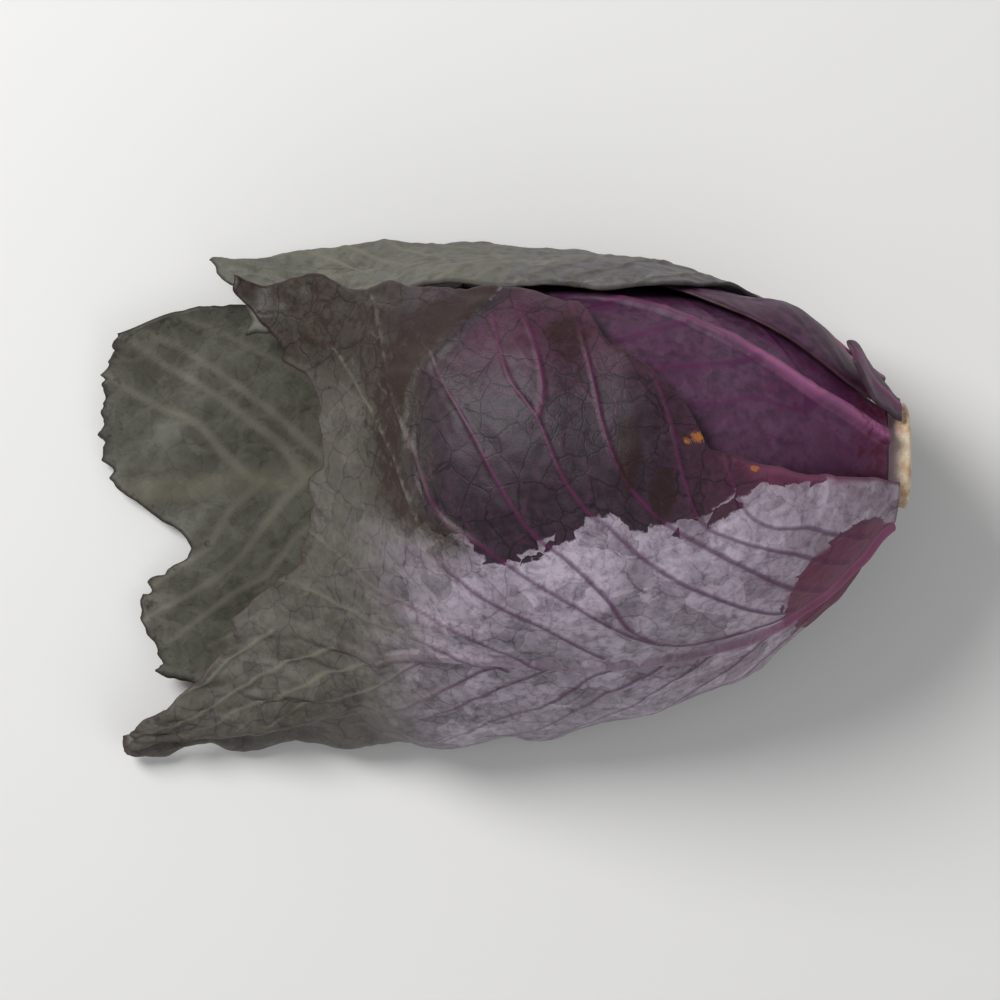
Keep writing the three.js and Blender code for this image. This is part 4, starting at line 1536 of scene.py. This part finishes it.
class Cabbage:
    """The whole cabbage, from its heart out."""

    def leaves(self) -> list[WrapLeaf]:
        """The leaves that follow the head, inside first."""
        inner, middle, outer = (layer.value for layer in (Layer.INNER, Layer.MIDDLE, Layer.OUTER))
        loose = curve((75, 3), (71, 3.8), (66, 4.2), (45, 4.2), (20, 4.5), (0, 4.5), (-12, 3.6),
                      (-22, 1.2), (-60, 1))
        tucked = curve((75, 2.8), (71, 3.7), (60, 3.9), (50, 3.8), (30, 3.5), (0, 3.4), (-12, 3),
                       (-22, 1.2), (-60, 1))
        stub = curve((76.3, -0.4), (75, 0.4), (73.5, 2), (70.5, 4), (67, 6.8))

        def lobe(x: Array, angle: Array) -> Array:
            """The back leaf's layer, which stands out as a lobe beside the stump."""
            return middle + 2.4 * np.exp(-(((x - 57) / 7) ** 2)) * (1 - smoothstep(angle, 3.0, 3.35))

        return [
            TopInnerLeaf(
                name="inner_leaf_with_bright_midrib", node="top_inner_leaf", slot="inner_leaf_skin",
                skin=INNER_SKIN, base_x=LEAF_BASE_X - 2, far_end=curve((0, -4), (0.5, -8), (1, -2)),
                rib=degrees(curve((76, 108), (66, 121), (60, 125), (44, 142), (22, 158), (0, 163))),
                low=at_angle(curve((76, 55), (60, 60), (30, 62), (0, 80), (-10, 88)), inner),
                high=at_angle(curve((76, 140), (60, 168), (40, 185), (0, 190)), inner),
                layer=lambda x, angle: np.full(np.shape(x), inner),
                rib_at=0.55, rib_half_width=2.2, rib_height=2.0, crumple=0.2, seed=20,
                rows=181, low_columns=100, rib_columns=18, high_columns=80, pucker=0.05,
                veins=VeinPlan(length=80, half_width=36, pairs=5, seed=21, height=0.2, width=0.6).grow(),
            ),
            WrapLeaf(
                name="inner_leaf_under_the_head", node="under_inner_leaf", slot="inner_leaf_skin",
                skin=INNER_SKIN, base_x=LEAF_BASE_X, far_end=curve((0, -3), (0.5, -8), (1, -3)),
                rib=degrees(curve((76, -88), (30, -84), (0, -80))),
                low=at_angle(curve((76, -130), (60, -155), (40, -163), (0, -163)), inner),
                high=at_angle(curve((76, -50), (60, -20), (40, 5), (0, 20)), inner),
                layer=lambda x, angle: np.full(np.shape(x), inner),
                rib_at=0.5, rib_half_width=2.5, rib_height=0.3, crumple=0.1, seed=30,
                rows=121, low_columns=50, rib_columns=12, high_columns=50,
                veins=VeinPlan(length=80, half_width=36, pairs=5, seed=31, height=0.2).grow(),
            ),
            BackLeaf(
                name="dark_leaf_behind_the_head", node="back_leaf", slot="inner_leaf_skin",
                skin=INNER_SKIN, base_x=LEAF_BASE_X - 5, far_end=curve((0, 2), (0.5, -6), (1, -2)),
                rib=degrees(curve((76, 168), (60, 182), (30, 200), (0, 203))),
                low=at_angle(
                    curve((76, 134), (66, 138), (60, 142), (44, 157), (22, 173), (0, 178)), middle
                ),
                high=at_angle(curve((76, 200), (60, 218), (40, 226), (0, 226)), middle),
                layer=lobe,
                rib_at=0.45, rib_half_width=2.2, rib_height=0.4, crumple=0.25, seed=40,
                rows=161, low_columns=50, rib_columns=12, high_columns=40,
                veins=VeinPlan(length=80, half_width=30, pairs=6, seed=41, height=0.25).grow(),
            ),
            FrontLeaf(
                name="front_wrapper_leaf", node="front_leaf", slot="wrapper_leaf_skin",
                skin=FRONT_SKIN, base_x=LEAF_BASE_X,
                far_end=curve(
                    (0, -71), (0.12, -71), (0.22, -67), (0.35, -50), (0.45, -38), (0.6, -32),
                    (0.75, -34), (0.9, -43), (1, -50),
                ),
                rib=degrees(FRONT_RIB),
                low=FORM.beside(
                    curve((76, -2), (70, -11.5), (63, -22), (48, -34), (34, -40), (13, -45), (-9, -47),
                          (-72, -47)),
                    curve((76, 26), (70, 21.5), (63, 16), (48, 9), (34, 5), (13, 3.2), (-9, 2.6),
                          (-72, 2.6)),
                ),
                high=at_angle(
                    curve((76, 72), (70, 82), (63, 87), (53, 94), (40, 100), (36, 110), (30, 122),
                          (22, 132), (15, 150), (-10, 152), (-50, 148)),
                    lambda x: outer_layer(x) + 0.6,
                ),
                layer=front_layer,
                rib_at=0.35, rib_half_width=2.8, rib_height=1.7, ruffle=0.8, seed=50,
                rows=301, low_columns=86, rib_columns=18, high_columns=148,
                ragged_end=3.0, ragged_margin=0.04, pucker=0.1, veins=front_veins(),
            ),
            OuterLeaf(
                name="loose_leaf_at_the_back", node="back_outer_leaf", slot="outer_leaf_skin",
                skin=OUTER_SKIN, base_x=LEAF_BASE_X - 1.5,
                far_end=curve((0, -46), (0.35, -53), (0.7, -50), (1, -44)),
                rib=degrees(curve((76, 203), (60, 206), (48, 200), (34, 188), (0, 184), (-50, 176))),
                low=at_angle(
                    curve((76, 190), (66, 196), (56, 198), (48, 188), (38, 165), (30, 156), (20, 154),
                          (0, 154), (-12, 156),
                          (-18, 152), (-25, 142), (-50, 128)),
                    tucked,
                ),
                high=FORM.beside(
                    curve((76, 21), (66, 28), (50, 37.5), (30, 45), (0, 49), (-30, 49.5), (-52, 44)),
                    curve((76, 24), (66, 18), (50, 10), (30, 5), (0, 3), (-52, 3)),
                ),
                layer=lambda x, angle: loose(x),
                rib_at=0.35, rib_half_width=2.4, rib_height=1.0, ruffle=0.5, seed=60,
                rows=241, low_columns=50, rib_columns=14, high_columns=70, crumple=0.5,
                ragged_margin=0.08, pucker=0.25,
                veins=VeinPlan(length=120, half_width=34, pairs=8, seed=61, lean=0.7).grow(),
            ),
            WrapLeaf(
                name="torn_leaf_base", node="torn_stub", slot="inner_leaf_skin",
                skin=INNER_SKIN, base_x=LEAF_BASE_X + 0.8,
                far_end=curve((0, 70.5), (0.5, 66.5), (1, 69)),
                rib=lambda x: np.full(np.shape(x), math.radians(145)),
                low=lambda x: (np.full(np.shape(x), math.radians(128)), stub(x)),
                high=lambda x: (np.full(np.shape(x), math.radians(162)), stub(x) + 0.4),
                layer=lambda x, angle: stub(x),
                rib_at=0.5, rib_half_width=1.6, rib_height=0.6, crumple=0.3, seed=66,
                rows=61, low_columns=20, rib_columns=10, high_columns=20, ragged_end=1.5,
            ),
        ]

    def build(self) -> None:
        """Builds every piece and reports it."""
        makers = [Stump(), Heart(), *self.leaves(), GroundLeaf()]
        for maker in makers:
            piece = maker.build()
            log.info("%s: %d faces", piece.name, len(piece.data.polygons))


@dataclass
class Studio:
    """A plain pale floor, soft light and a camera that looks down on the cabbage."""

    camera_height: float = 0.80
    camera_back: float = 0.05
    lens_mm: float = 152.0

    def build(self) -> None:
        """Makes the floor, the lights and the camera."""
        self.floor()
        self.lights()
        self.camera()

    def floor(self) -> None:
        """A wide pale floor, just under the cabbage."""
        mesh = bpy.data.meshes.new("studio_floor")
        half = 3.0
        corners = [(-half, -half, 0), (half, -half, 0), (half, half, 0), (-half, half, 0)]
        mesh.from_pydata(corners, [], [(0, 1, 2, 3)])
        floor = bpy.data.objects.new("studio_floor", mesh)
        bpy.context.scene.collection.objects.link(floor)
        g = Graph("studio_floor_matt_paint")
        shader = g.add("ShaderNodeBsdfPrincipled", Base_Color=linear("#e6e5e2"), Roughness=0.9)
        g.add("ShaderNodeOutputMaterial", Surface=shader.outputs[0])
        mesh.materials.append(g.material)

    def lights(self) -> None:
        """One large key light, a weak fill and a pale surround."""
        world = bpy.data.worlds.new("studio_surround")
        world.use_nodes = True
        background = world.node_tree.nodes["Background"]
        background.inputs["Color"].default_value = linear("#f4f6fa")
        background.inputs["Strength"].default_value = 0.36
        bpy.context.scene.world = world
        for name, place, size, power in (
            ("key_light", (-0.5, 0.45, 0.7), 0.45, 8.0),
            ("fill_light", (0.6, -0.5, 0.6), 0.8, 1.4),
        ):
            lamp = bpy.data.lights.new(name, "AREA")
            lamp.shape = "DISK"
            lamp.size = size
            lamp.energy = power
            light = bpy.data.objects.new(name, lamp)
            light.location = place
            light.rotation_euler = (-Vector(place)).to_track_quat("-Z", "Y").to_euler()
            bpy.context.scene.collection.objects.link(light)

    def camera(self) -> None:
        """Looks down, from a little behind the head's upright."""
        lens = bpy.data.cameras.new("camera")
        lens.lens = self.lens_mm
        lens.sensor_width = 36.0
        lens.clip_start = 0.01
        camera = bpy.data.objects.new("camera", lens)
        low, high = FRAME_BOX
        middle = Vector(((low[0] + high[0]) / 2, (low[1] + high[1]) / 2, high[2] * 0.35))
        camera.location = middle + Vector((0.0, self.camera_back, self.camera_height))
        camera.rotation_euler = (-math.atan2(self.camera_back, self.camera_height), 0.0, 0.0)
        bpy.context.scene.collection.objects.link(camera)
        bpy.context.scene.camera = camera


def main() -> None:
    """Builds the cabbage and the studio."""
    logging.basicConfig(level=logging.INFO, format="%(name)s %(message)s")
    bpy.context.scene.view_settings.view_transform = "Standard"
    Studio().build()
    Cabbage().build()


if __name__ == "__main__":
    main()
